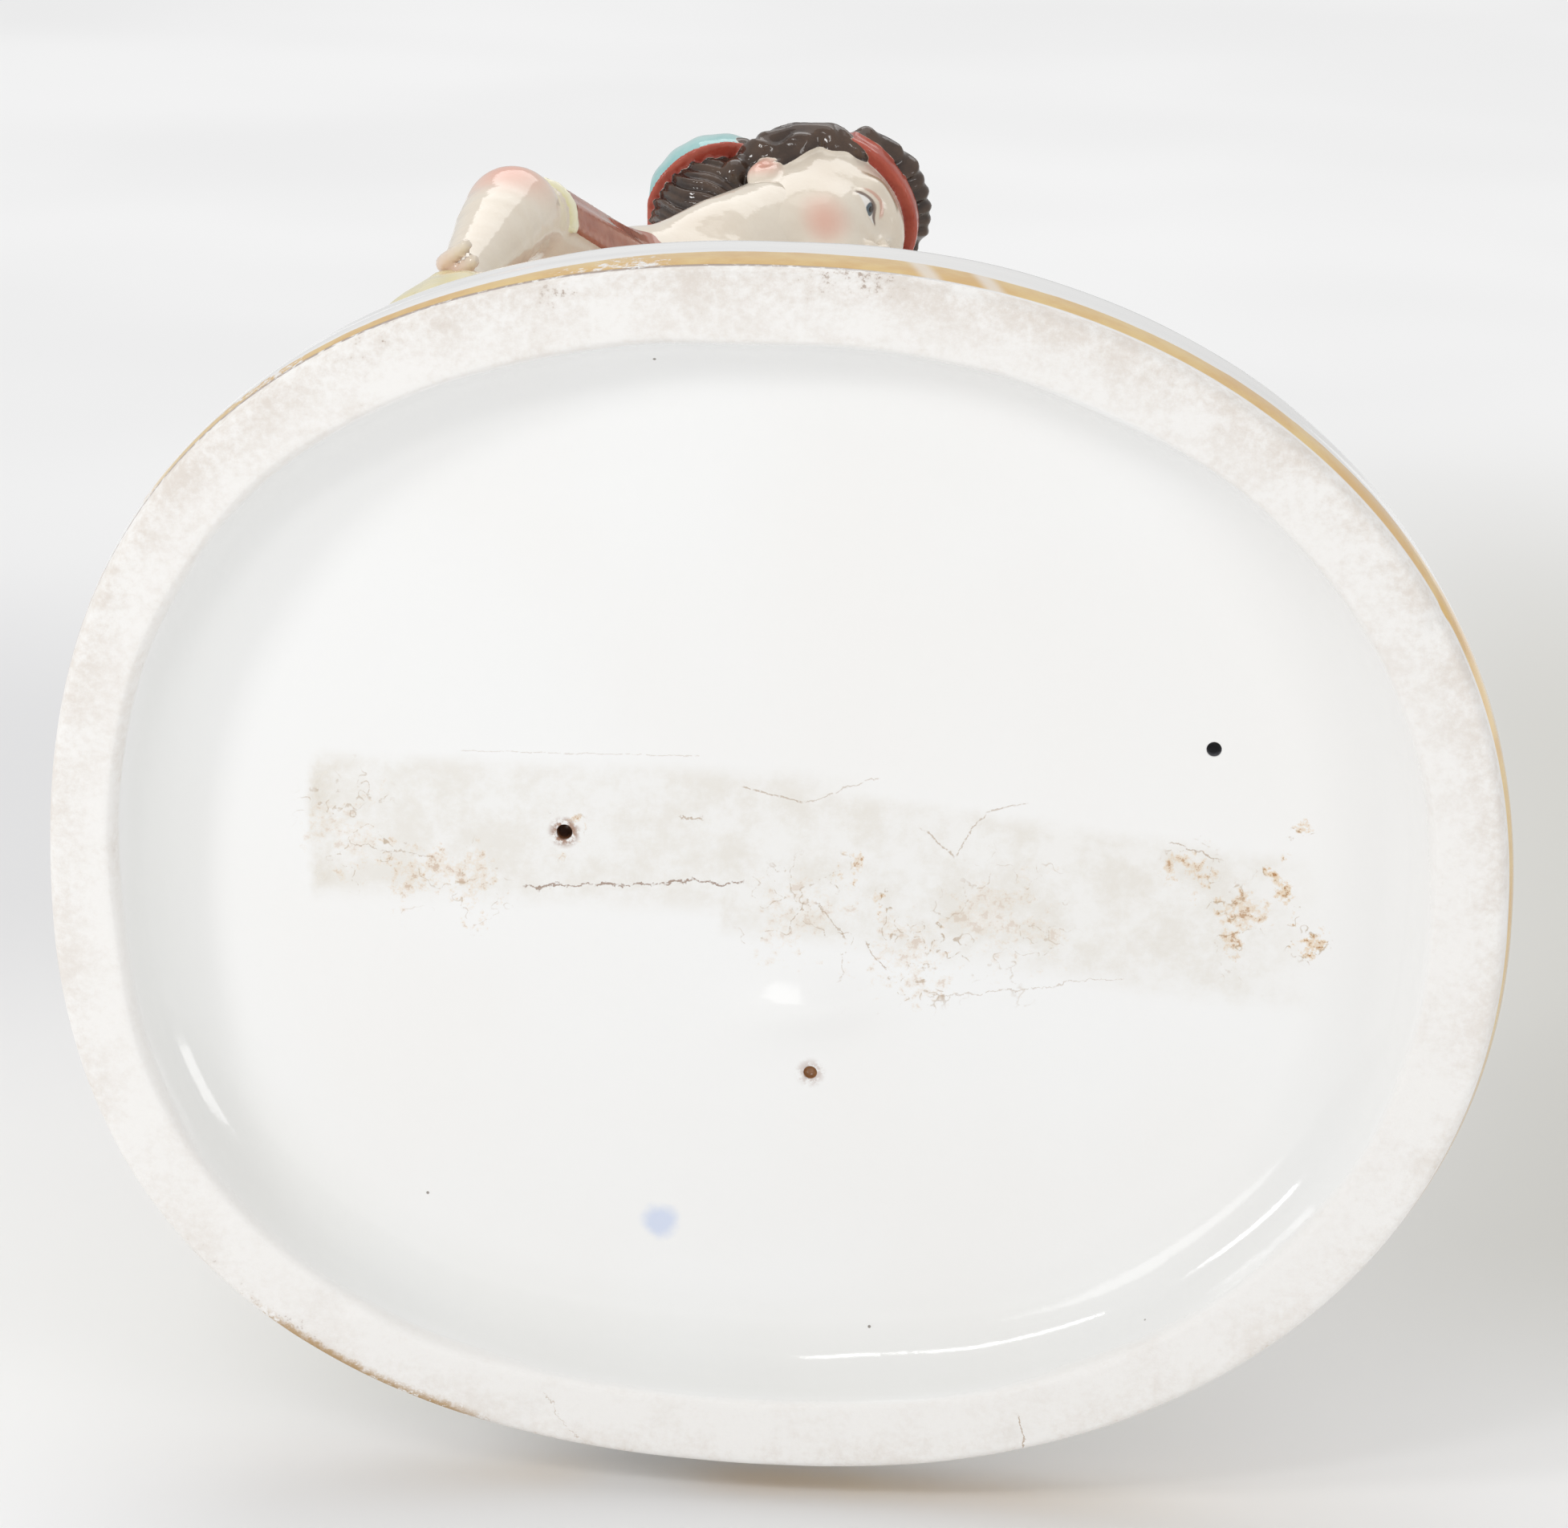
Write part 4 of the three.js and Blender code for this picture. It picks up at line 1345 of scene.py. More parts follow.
@dataclass
class Head:
    """A head with its hair, modelled in shares of its height from a point between chin and crown.

    A spot is how far it is ahead, aside and up. Each lump is a spot, its half-sizes and how far it melts
    in, and each rod is its spots, its radii and how far it melts in. The lids are given for one eye.
    """

    SKULL: ClassVar[Lumps] = (
        ((-0.06, 0.0, 0.1), (0.41, 0.345, 0.38), 0.05),
        ((0.09, 0.0, -0.1), (0.275, 0.29, 0.37), 0.1),
    )
    BROW: ClassVar[Rods] = (
        (((0.29, -0.17, 0.09), (0.345, 0.0, 0.085), (0.29, 0.17, 0.09)), (0.035, 0.04, 0.035), 0.1),
    )
    LIDS: ClassVar[Rods] = (
        (((0.315, 0.08, -0.005), (0.335, 0.15, 0.02), (0.29, 0.225, -0.01)), (0.008, 0.013, 0.008), 0.02),
        (((0.325, 0.09, -0.055), (0.32, 0.15, -0.075), (0.29, 0.215, -0.055)), (0.006, 0.009, 0.006), 0.025),
    )
    NOSE_AND_LIPS: ClassVar[Rods] = (
        (
            ((0.345, 0.0, 0.03), (0.375, 0.0, -0.06), (0.43, 0.0, -0.135), (0.41, 0.0, -0.17)),
            (0.022, 0.026, 0.034, 0.03),
            0.035,
        ),
        (((0.335, -0.075, -0.282), (0.375, 0, -0.268), (0.335, 0.075, -0.282)), (0.008, 0.022, 0.008), 0.012),
        (((0.33, -0.06, -0.295), (0.365, 0, -0.307), (0.33, 0.06, -0.295)), (0.008, 0.024, 0.008), 0.012),
    )
    IRIS: ClassVar[Colour] = tint(92, 104, 112)

    centre: Array
    forward: Array
    up: Array
    height: float
    hairline: Line
    hair: Paint = Paint.HAIR

    def __post_init__(self) -> None:
        """Squares up the axes."""
        self.up = unit(self.up)
        self.forward = unit(self.forward - self.up * (self.forward @ self.up))
        self.side = np.cross(self.forward, self.up)
        self.axes = np.array([self.forward, self.side, self.up])

    def at(self, f: float, s: float, u: float) -> Array:
        """Returns the point that is f ahead, s to the side and u up, in shares of the height."""
        return self.centre + self.height * (f * self.forward + s * self.side + u * self.up)

    def local(self, points: Array) -> Array:
        """Returns points as shares ahead, aside and up."""
        return (points - self.centre) @ self.axes.T / self.height

    def ball(self, f: float, s: float, u: float, *radii: float) -> Ball:
        """Returns an ellipsoid along the head's axes."""
        return Ball(self.at(f, s, u), np.array(radii) * self.height, self.axes)

    def rod(self, spots: list[Point], radii: list[float]) -> Limb:
        """Returns a rod through spots given in shares."""
        return Limb([self.at(*spot) for spot in spots], [r * self.height for r in radii], steps=6)

    def model(self, clay: Clay, soft: float = 1.0) -> None:
        """Models skull, face, features and ears.

        Args:
            clay: The clay to work in.
            soft: How round and small the features are, more for a child.
        """
        size = self.height

        def add_ball(spot: Point, radii: Point, blend: float) -> None:
            """Adds a ball of bare skin."""
            clay.add(self.ball(*spot, *radii), Paint.FLESH, blend * size)

        def add_rods(rods: Rods, side: int = 1) -> None:
            """Adds rods of bare skin on one side."""
            for spots, radii, blend in rods:
                turned = [(f, side * s, u) for f, s, u in spots]
                clay.add(self.rod(turned, list(radii)), Paint.FLESH, blend * size)

        for spot, radii, blend in self.SKULL:
            add_ball(spot, radii, blend)
        add_ball((0.235, 0.0, -0.405), (0.095, 0.1, 0.085 * soft), 0.12)
        add_rods(self.BROW)
        add_ball((0.3, 0.0, -0.27), (0.07, 0.12, 0.1), 0.08)
        for s in (-1, 1):
            add_ball((0.2, 0.165 * s, -0.17), (0.1, 0.1, 0.12 * soft), 0.09)
            clay.carve(self.ball(0.4, 0.155 * s, -0.015, 0.075, 0.1, 0.055), 0.07 * size)
            add_ball((0.272, 0.15 * s, -0.03), (0.065, 0.07, 0.05), 0.012)
            add_rods(self.LIDS, s)
            add_ball((0.385, 0.04 * s, -0.175), (0.035, 0.03, 0.026), 0.03)
            add_ball((-0.14, 0.335 * s, -0.09), (0.065, 0.035, 0.1), 0.025)
            clay.carve(self.ball(-0.12, 0.385 * s, -0.08, 0.03, 0.03, 0.055), 0.02 * size)
        add_rods(self.NOSE_AND_LIPS)

    def combed(self, points: Array) -> Array:
        """Returns the relief of strands that run back from the brow, between -1 and 1."""
        f, s, u = np.moveaxis(self.local(points), -1, 0)
        turn = np.arctan2(s, u + 0.12) + 0.12 * np.sin(7.0 * f) + 0.05 * np.sin(19.0 * f + 4.0 * s)
        return 0.6 * np.cos(44.0 * turn) + 0.4 * np.cos(27.0 * turn + 1.0)

    def haired(self, points: Array) -> Array:
        """Returns how far points are inside the hairline, in millimetres."""
        f, s, u = np.moveaxis(self.local(points), -1, 0)
        line = np.interp(f, *self.hairline) + 0.012 * np.sin(60.0 * f) + 0.01 * np.sin(37.0 * s)
        return (u - line) * self.height * 0.8

    def add_hair(self, clay: Clay, mass: Form, blend: float = 0.3) -> None:
        """Adds a mass of combed hair, held back from the face by the hairline."""
        clay.add(Within(Relief(mass, self.combed, 0.011 * self.height), self.haired), self.hair, blend)

    def draw_face(self, sheet: Sheet, colour: Socket, skin: Value) -> Socket:
        """Paints brows, eyes and lips over a colour.

        Args:
            sheet: The material's sheet.
            colour: The colour so far.
            skin: 1 on bare skin, 0 on hair.

        Returns:
            The new colour.
        """
        f, s, u = (sheet.number(name) for name in ("face_f", "face_s", "face_u"))
        aside = s.size()
        front = f.rise(0.16, 0.22) * skin
        across = (aside - 0.152) / 0.078
        bow = 1.0 - across * across
        lid = u - (-0.03 + 0.03 * bow)
        under = u - (-0.035 - 0.022 * bow)
        within = lid.rise(0.006, -0.004) * under.rise(-0.006, 0.004) * across.size().rise(1.0, 0.92) * front
        pupil_x, pupil_y = (aside - 0.147) / 0.032, (u + 0.03) / 0.034
        from_pupil = (pupil_x * pupil_x + pupil_y * pupil_y).root()
        colour = sheet.mix(within * 0.85, colour, tint(246, 244, 240))
        colour = sheet.mix(within * from_pupil.rise(1.05, 0.85), colour, self.IRIS)
        colour = sheet.mix(within * from_pupil.rise(0.5, 0.38), colour, tint(34, 26, 24))
        lash = lid.size().rise(0.013, 0.004) * across.size().rise(1.12, 0.95) * front
        colour = sheet.mix(lash * 0.8, colour, tint(92, 62, 48))
        crease = (u - (0.012 + 0.034 * bow)).size().rise(0.012, 0.004) * across.size().rise(1.05, 0.7) * front
        colour = sheet.mix(crease * 0.55, colour, tint(206, 132, 110))
        brow_x = (aside - 0.165) / 0.1
        brow = (u - (0.098 + 0.03 * (1.0 - brow_x * brow_x))).size().rise(0.021, 0.009)
        brow = brow * brow_x.size().rise(1.0, 0.75)
        colour = sheet.mix(brow * front * 0.75, colour, tint(150, 128, 98))
        mouth = aside / 0.088
        peak = mouth.rise(0.0, 0.35) * 0.012
        parting = u + 0.288
        upper = (u - (-0.262 + peak - 0.022 * mouth * mouth)).rise(0.004, -0.004)
        upper = upper * parting.rise(-0.003, 0.003)
        lower = (u - (-0.335 + 0.036 * mouth * mouth)).rise(-0.004, 0.004) * parting.rise(0.003, -0.003)
        lips = upper.most(lower) * mouth.rise(1.02, 0.88) * f.rise(0.24, 0.29)
        colour = sheet.mix(lips * 0.85, colour, tint(206, 92, 84))
        nostril_x, nostril_y = (aside - 0.03) / 0.015, (u + 0.2) / 0.011
        nostril = (nostril_x * nostril_x + nostril_y * nostril_y).rise(1.3, 0.5) * f.rise(0.3, 0.34)
        return sheet.mix(nostril * 0.7, colour, tint(196, 92, 78))

    def values(self, skin: Skin) -> dict[str, Array]:
        """Returns the head's own coordinates at a skin's points, for the face painter."""
        local = self.local(skin.points)
        return {"face_f": local[:, 0], "face_s": local[:, 1], "face_u": local[:, 2]}


@dataclass(frozen=True)
class Wash:
    """A thin cloudy coat of colour, laid between two heights."""

    FADE: ClassVar[float] = 6.0

    colour: Colour
    scale: float
    cover: float
    strength: float
    heights: tuple[float, float] = (-10.0, 300.0)
    over: Paint | None = None

    def lay(self, sheet: Sheet, where: Socket, z: Value, colour: Socket) -> Socket:
        """Returns the colour with the wash over it."""
        cloud = sheet.noise(where, self.scale, 4.0, 0.7).rise(self.cover - 0.09, self.cover + 0.09)
        low, high = self.heights
        mask = cloud * self.strength * z.rise(low, low + self.FADE) * z.rise(high, high - self.FADE)
        if self.over is not None:
            mask = mask * sheet.number(self.over.label).rise(-0.1, 0.5)
        return sheet.mix(mask, colour, self.colour)


@dataclass(frozen=True)
class Sprigs:
    """Small flowers with leaves, strewn over a painted cloth."""

    spacing: float = 8.5
    seed: int = 5
    size: float = 1.15

    def values(self, skin: Skin) -> dict[str, Array]:
        """Returns, for each point of a skin, where it is from the nearest sprig, and that sprig's luck."""
        chooser = np.random.default_rng(self.seed)
        points, normals = skin.points, skin.normals()
        free = np.ones(len(points), dtype=bool)
        best = np.full(len(points), 1e9)
        found = {"sprig_u": np.full(len(points), 9.0), "sprig_v": np.full(len(points), 9.0)}
        found["sprig_luck"] = np.zeros(len(points))
        while free.any():
            pick = chooser.choice(np.flatnonzero(free))
            offset = points - points[pick]
            away = np.linalg.norm(offset, axis=1)
            free &= away > self.spacing
            first = unit(np.cross(normals[pick], chooser.normal(size=3)))
            second = np.cross(normals[pick], first)
            luck = chooser.random()
            mine = (away < best) & (away < 6.0)
            best = np.minimum(best, away)
            found["sprig_u"][mine] = (offset @ first)[mine] / self.size
            found["sprig_v"][mine] = (offset @ second)[mine] / self.size
            found["sprig_luck"][mine] = luck
        return found

    def draw(self, sheet: Sheet, colour: Socket, cover: Value) -> Socket:
        """Paints the sprigs over a colour where cover is 1, and returns the new colour."""
        u, v, luck = (sheet.number(name) for name in ("sprig_u", "sprig_v", "sprig_luck"))
        aside = u.size()
        leaf_u, leaf_v = (aside - 1.05) / 0.62, (v + 1.0 - aside * 0.35) / 0.3
        leaves = (leaf_u * leaf_u + leaf_v * leaf_v).rise(1.25, 0.8)
        stem = (u + v * 0.12).size().rise(0.16, 0.07) * (v + 1.3).size().rise(1.0, 0.85)
        colour = sheet.mix(cover * leaves.most(stem) * 0.8, colour, tint(96, 136, 84))
        away = (u * u + v * v).root()
        lobe = (v.angle_over(u) * 2.5).sine().size() * 0.35 + 0.65
        petals = (away / lobe).rise(1.08, 0.92)
        bloom = sheet.mix(luck.rise(0.55, 0.56), tint(206, 92, 112), tint(112, 130, 186))
        bloom = sheet.mix(away.rise(0.35, 0.8) * 0.5, bloom, tint(244, 222, 224))
        colour = sheet.mix(cover * petals * 0.85, colour, bloom)
        return sheet.mix(cover * away.rise(0.34, 0.24), colour, tint(226, 176, 70))


def cast(
    clay: Clay, name: str, finish: Enamels, more: Callable[[Skin], dict[str, Array]] | None = None
) -> Piece:
    """Makes a piece of modelled clay, with its paint margins and its grooves stored in it, and hands it in.

    Args:
        clay: The finished clay.
        name: The piece's name.
        finish: How it is painted.
        more: Works out more values for the points of its skin.

    Returns:
        The piece.
    """
    skin = clay.skin()
    values = {paint.label: margin for paint, margin in clay.margins(skin.points).items()}
    values["hollow"] = skin.hollow()
    if more is not None:
        values.update(more(skin))
    return hand_in(make_piece(name, skin.points, skin.faces, values), finish.make())


@dataclass
class Hand:
    """A hand, from its wrist to its finger tips. Its thumb is on the side 1 or -1."""

    wrist: Point
    point: Point
    palm: Point
    size: float
    curl: float = 0.6
    thumb: int = 1

    def model(self, clay: Clay) -> None:
        """Models palm, fingers and thumb."""
        ahead = unit(np.array(self.point))
        palm = unit(np.array(self.palm) - ahead * (ahead @ np.array(self.palm)))
        side = np.cross(ahead, palm) * self.thumb
        start, size = np.array(self.wrist), self.size

        def add(path: list[Array], shares: list[float], blend: float, *oval: "Array | float") -> None:
            """Adds a limb of skin, with its thicknesses and its blend as shares of the hand's size."""
            clay.add(Limb(path, [share * size for share in shares], *oval), Paint.FLESH, blend * size)

        middle = start + ahead * 0.4 * size
        add([start, middle], [0.13, 0.2], 0.1, palm, 0.62)
        for i in range(4):
            lean = (1.5 - i) * 0.11 * size
            base = middle + side * lean
            knuckle = base + ahead * 0.27 * size + side * lean * 0.2 + palm * self.curl * 0.06 * size
            reach, fall = 0.25 - 0.12 * self.curl, 0.2 + 0.03 * i
            tip = knuckle + ahead * reach * size + palm * self.curl * fall * size
            add([base, knuckle, tip], [0.07, 0.066, 0.048], 0.03)
        root = start + ahead * 0.15 * size + side * 0.12 * size
        bend = start + ahead * 0.34 * size + side * 0.3 * size + palm * 0.08 * size
        tip = start + ahead * 0.55 * size + side * 0.3 * size + palm * (0.1 + 0.2 * self.curl) * size
        add([root, bend, tip], [0.09, 0.07, 0.052], 0.06)


@dataclass
class Woman:
    """The young woman. She sits on the rock and bends down to the boy at her left."""

    facing: Point = (0.55, -0.835, 0.0)
    across: Point = (-0.835, -0.55, 0.0)
    chest: Point = (-25.5, -35.0, 121.5)
    neck: Point = (-22.5, -44.5, 141.0)
    shoulders: tuple = ((-33.0, -47.0, 136.5), (-9.8, -30.5, 138.0))
    right_arm: tuple = ((-33.7, -46.6, 135.0), (-45.5, -62.5, 100.0), (-48.5, -58.5, 76.0))
    left_arm: tuple = ((-9.0, -30.0, 136.5), (0.5, -12.0, 104.0), (12.0, -29.0, 90.5))
    head_spot: Point = (-9.5, -49.6, 165.0)
    head_forward: Point = (0.895, -0.045, -0.443)
    head_up: Point = (0.41, -0.311, 0.857)
    head_height: float = 33.0
    gown: tuple = (
        (21, -12, -25, 46, 37.5, 0.075, 16),
        (29, -12, -25, 45, 37, 0.07, 14),
        (38, -12, -25, 42.5, 35.5, 0.065, 9),
        (50, -13, -24, 39, 33.5, 0.055, 4),
        (64, -14, -23, 34.5, 30.5, 0.04, 2),
        (75, -15, -22, 29, 26, 0.025, 1),
        (82, -18, -21, 22, 19, 0.012, 0),
        (88, -26, -19, 12.5, 12.5, 0.0, 0),
        (95, -28, -19, 8.5, 9.5, 0.0, 0),
    )
    overskirt: tuple = (
        (49, -28, -16, 25, 27, 0.1, 6),
        (55, -28, -16, 27, 30, 0.085, 5),
        (65, -27, -16, 30, 32.5, 0.065, 4),
        (76, -26, -17, 27.5, 28.5, 0.05, 3),
        (86, -27, -18, 18, 18.5, 0.04, 0),
        (93, -28, -19, 9.5, 10.5, 0.02, 0),
    )
    lap_ahead: tuple[float, float] = (0.8, -0.6)
    lap: Point = (-26.0, -20.0, 83.0)
    knees_and_feet: tuple[tuple[Point, Point], ...] = (
        ((7.0, -31.0, 75.0), (17.0, -33.0, 34.0)),
        ((-3.0, -45.0, 74.0), (8.0, -52.0, 34.0)),
    )
    gown_folds: int = 9
    overskirt_folds: int = 8
    held: Point = (-48.5, -57.5, 63.0)
    held_ends: Path = (
        (-58, -44, 33), (-56, -51, 29), (-51.5, -56.5, 31), (-45.5, -60, 34), (-39, -61, 38),
    )
    drawn_from: Path = ((-42, -26, 84), (-38, -33, 80), (-33, -39, 76), (-27, -44, 70))
    shoe: Path = ((20, -47, 25), (26, -51.5, 24.5), (31, -55, 23.0))
    bare_neck: Limbs = (
        (((-22.5, -43.5, 137), (-20, -47.5, 148), (-15.5, -50.5, 157)), (8.2, 7.0, 6.6)),
        (
            ((-16.5, -51.5, 156), (-22, -50.2, 148.5), (-28.4, -48, 141.9), (-34.4, -47.8, 135.6)),
            (6.0, 6.6, 6.4, 5.9),
        ),
        (((-14.0, -48.5, 155), (-16.5, -44, 149), (-13.5, -37, 143), (-9.8, -31, 138)), (5.6, 5.8, 6.0, 6.0)),
    )
    nape: Limbs = ((((-13.0, -50.8, 159.0), (-17.0, -50.0, 153.0), (-21.5, -48.8, 145.0)), (6.8, 7.0, 5.6)),)
    hands: tuple[Hand, ...] = (
        Hand((-47.0, -58.5, 76.0), (-0.1, -0.05, -1.0), (0.75, -0.6, 0.0), 17.0, 0.9, -1),
        Hand((12.0, -29.0, 90.5), (0.5, -0.75, -0.42), (-0.1, -0.45, -0.9), 16.0, 0.5),
    )
    blushes: tuple[Blush, ...] = (
        Blush((-46.0, -67.0, 99.0), 8.5, 0.55),
        Blush((0.5, -8.0, 104.0), 8.0, 0.5),
        Blush((-48.0, -60.0, 64.0), 6.0, 0.3),
        Blush((17.0, -37.0, 84.0), 6.0, 0.3),
    )
    hairline: Line = (
        (-0.5, -0.42, -0.2, -0.09, 0.02, 0.18, 0.36, 0.5),
        (-0.34, -0.3, -0.13, -0.06, 0.13, 0.21, 0.25, 0.26),
    )
    side_roll: Path = ((0.2, 0.2, 0.3), (0.02, 0.34, 0.2), (-0.2, 0.36, 0.06), (-0.38, 0.22, -0.08))
    brow_roll: Path = (
        (0.14, -0.3, 0.34), (0.28, -0.17, 0.375), (0.315, 0, 0.38), (0.28, 0.17, 0.375), (0.14, 0.3, 0.34),
    )

    def _neckline(self, points: Array) -> Array:
        """Returns how far points lie below the edge of the bodice, which dips in front."""
        offset = points - np.array(self.neck)
        rise = offset @ unit(np.array(self.neck) - np.array(self.chest))
        front = offset @ np.array(self.facing)
        aside = offset @ np.array(self.across)
        dip = smooth_step(-6.0, 5.0, front) * (1.0 - smooth_step(10.0, 16.0, np.abs(aside)))
        return -2.0 - 8.5 * dip - rise

    def _lace(self, points: Array) -> Array:
        """Keeps a wavy strip along the neckline, between the sleeves."""
        wave = 0.5 * np.sin(points[..., 0] * 2.2 + points[..., 2])
        aside = (points - np.array(self.neck)) @ np.array(self.across)
        return np.minimum(1.1 - np.abs(self._neckline(points) + 0.2 + wave), 12.5 - np.abs(aside))

    def _torso(self, grow: float) -> list[Form]:
        """Returns the forms of the trunk, grown by some millimetres."""
        chest, facing, across = (np.array(v) for v in (self.chest, self.facing, self.across))
        spine = [(-28, -19, 86), (-27.4, -25.5, 102), chest, (-23.3, -41.5, 134.5)]
        radii = [8.6 + grow, 8.0 + grow, 10.2 + grow, 7.4 + grow]
        forms: list[Form] = [Limb(spine, radii, self.across, 1.18, 8)]
        forms.append(Limb(list(self.shoulders), [6.0 + grow, 6.0 + grow]))
        for s in (-1, 1):
            spot = chest + facing * 6.2 + across * 5.0 * s + vec(0, 0, -0.5)
            forms.append(Ball(spot, np.full(3, 5.6 + grow)))
        return forms

    def body(self) -> Piece:
        """Models trunk, neck, arms and hands."""
        clay = Clay(vec(-66, -74, 56), vec(30, -2, 164), 0.6)
        for form in self._torso(0.0):
            clay.add(form, Paint.FLESH, 5.0)
        clay.add_limbs(self.bare_neck, Paint.FLESH, 4.0)
        for arm in (self.right_arm, self.left_arm):
            upper, elbow, wrist = (np.array(v) for v in arm)
            clay.add(Limb([upper, elbow], [6.1, 5.7]), Paint.FLESH, 2.0)
            belly = elbow + (wrist - elbow) * 0.3 + vec(0, 0, 0.4)
            clay.add(Limb([elbow, belly, wrist], [5.9, 5.9, 3.3]), Paint.FLESH, 2.5)
        for form in self._torso(0.9):
            clay.add(Within(form, self._neckline, 0.4), Paint.PUCE, 2.2)
        for form in self._torso(1.6):
            clay.add(Within(form, self._lace), Paint.WHITE, 0.4)
        for upper, elbow, _ in (self.right_arm, self.left_arm):
            self._sleeve(clay, np.array(upper), np.array(elbow))
        for hand in self.hands:
            hand.model(clay)
        paints = (Paint.PUCE, Paint.YELLOW, Paint.WHITE)
        return cast(clay, "woman_body", Enamels("woman_enamel", Paint.FLESH, paints, self.blushes))

    def _sleeve(self, clay: Clay, start: Array, end: Array) -> None:
        """Adds a gathered sleeve that hangs open behind the arm, edged with yellow.

        Args:
            clay: The clay to work in.
            start: The top of the arm.
            end: The elbow.
        """
        run = unit(end - start)
        length = float(np.linalg.norm(end - start))
        ahead = unit(np.array(self.facing) - run * (run @ np.array(self.facing)))
        side = np.cross(run, ahead)

        def gathers(points: Array) -> Array:
            """Returns the soft lengthwise gathers of the sleeve."""
            return np.sin(11.0 * np.arctan2((points - start) @ side, (points - start) @ ahead))

        def sleeved(points: Array) -> Array:
            """Keeps the front of the arm, and all of it close to the shoulder."""
            down = (points - start) @ run
            return np.minimum(np.maximum((points - start) @ ahead - 3.4, 8.0 - down), 34.0 - down)

        def hemmed(points: Array) -> Array:
            """Keeps a narrow band along the sleeve's lower edge."""
            return np.minimum(0.6 - np.abs((points - start) @ run - 33.6), (points - start) @ ahead - 3.0)

        path = [start - run, start + run * 0.3 * length, start + run * 0.85 * length]
        gathered = Relief(Limb(path, [7.0, 6.6, 6.5]), gathers, 0.2)
        clay.add(Within(gathered, sleeved, 0.5), Paint.PUCE, 0.8)
        clay.add(Within(Limb(path, [6.8, 6.9, 6.9]), hemmed), Paint.YELLOW, 0.4)

    def _outward(self, turn: float) -> Array:
        """Returns the level direction at an angle from straight ahead of the lap."""
        x, y = self.lap_ahead
        return vec(x * math.cos(turn) - y * math.sin(turn), y * math.cos(turn) + x * math.sin(turn), 0)

    def dress(self) -> Piece:
        """Models the gown over hips and knees, the drawn-up overskirt and a shoe."""
        clay = Clay(vec(-64, -70, 12), vec(42, 26, 100), 0.8)
        clay.add(Bell(self.gown, self.lap_ahead, (13, 8), 0.22), Paint.WHITE, 1.0)
        for knee, foot in self.knees_and_feet:
            middle = tuple(0.5 * (a + b) for a, b in zip(knee, foot))
            clay.add(Limb([self.lap, knee], [9.0, 8.6]), Paint.WHITE, 7.0)
            clay.add(Limb([knee, middle, foot], [8.4, 6.4, 5.5]), Paint.WHITE, 7.0)
        for i in range(self.gown_folds):
            turn = -1.25 + 0.31 * i
            out = self._outward(turn)
            high = vec(-13, -24, 72 - 9 * abs(math.sin(1.7 * i))) + out * (27 + 2 * math.sin(2.1 * i))
            low = vec(-12, -25, 20) + out * (41 + 3 * math.cos(turn))
            bend = 0.5 * (high + low) + out * 1.2 + vec(2.2 * math.sin(2.7 * i), 1.5, 3 * math.sin(3.3 * i))
            clay.add(Limb([high, bend, low], [1.0, 2.3, 3.0]), Paint.WHITE, 3.2)
        clay.add(Bell(self.overskirt, self.lap_ahead, (11, 7), 0.3), Paint.YELLOW, 1.2)
        for i in range(self.overskirt_folds):
            out = self._outward(1.0 + 0.6 * i)
            high = vec(-28, -18, 88) + out * 14
            low = vec(-28, -16, 54 + 3 * math.sin(2.3 * i)) + out * 29
            bend = 0.5 * (high + low) + out * 7.5 + vec(0, 0, 2)
            clay.add(Limb([high, bend, low], [1.0, 2.2, 2.6]), Paint.YELLOW, 2.5)
        hand = np.array(self.held)
        for i, end in enumerate(self.held_ends):
            middle = 0.5 * (hand + end) + vec(-1.0, -1.5, 1.0)
            clay.add(Limb([hand, middle, end], [3.0, 3.1, 3.9 - 0.4 * (i % 2)]), Paint.YELLOW, 1.3)
        for i, hip in enumerate(self.drawn_from):
            sag = 0.5 * (hand + hip) + vec(-1.0 + 0.5 * i, -1.0, -4.0 - 1.6 * i)
            clay.add(Limb([hip, sag, hand], [4.6, 4.2, 3.0]), Paint.YELLOW, 1.8)
        clay.add(Limb(self.shoe, [3.6, 3.2, 1.6]), Paint.PUCE, 0.5)
        washes = (
            Wash(tint(232, 172, 176), 0.03, 0.48, 0.5, (18.0, 60.0), Paint.WHITE),
            Wash(tint(226, 204, 120), 0.05, 0.5, 0.45, (30.0, 100.0), Paint.YELLOW),
        )
        sprigs = Sprigs()
        paints = (Paint.YELLOW, Paint.PUCE)
        finish = Enamels("gown_enamel", Paint.WHITE, paints, (), washes, sprigs, Paint.WHITE)
        return cast(clay, "woman_gown", finish, sprigs.values)

    def _gathered(self, head: Head) -> Rule:
        """Returns the relief of the cap's gathers, which run in from its edge to the middle."""

        def pattern(points: Array) -> Array:
            """Returns the gathers, between -1 and 1."""
            f, s, u = np.moveaxis(head.local(points), -1, 0)
            across = 0.66 * (u + 0.02) + 0.75 * (f + 0.48)
            turn = np.arctan2(s - 0.04, across)
            middle = np.hypot(s - 0.04, across) / 0.37
            return np.cos(16.0 * turn) * smooth_step(0.1, 0.8, middle)

        return pattern

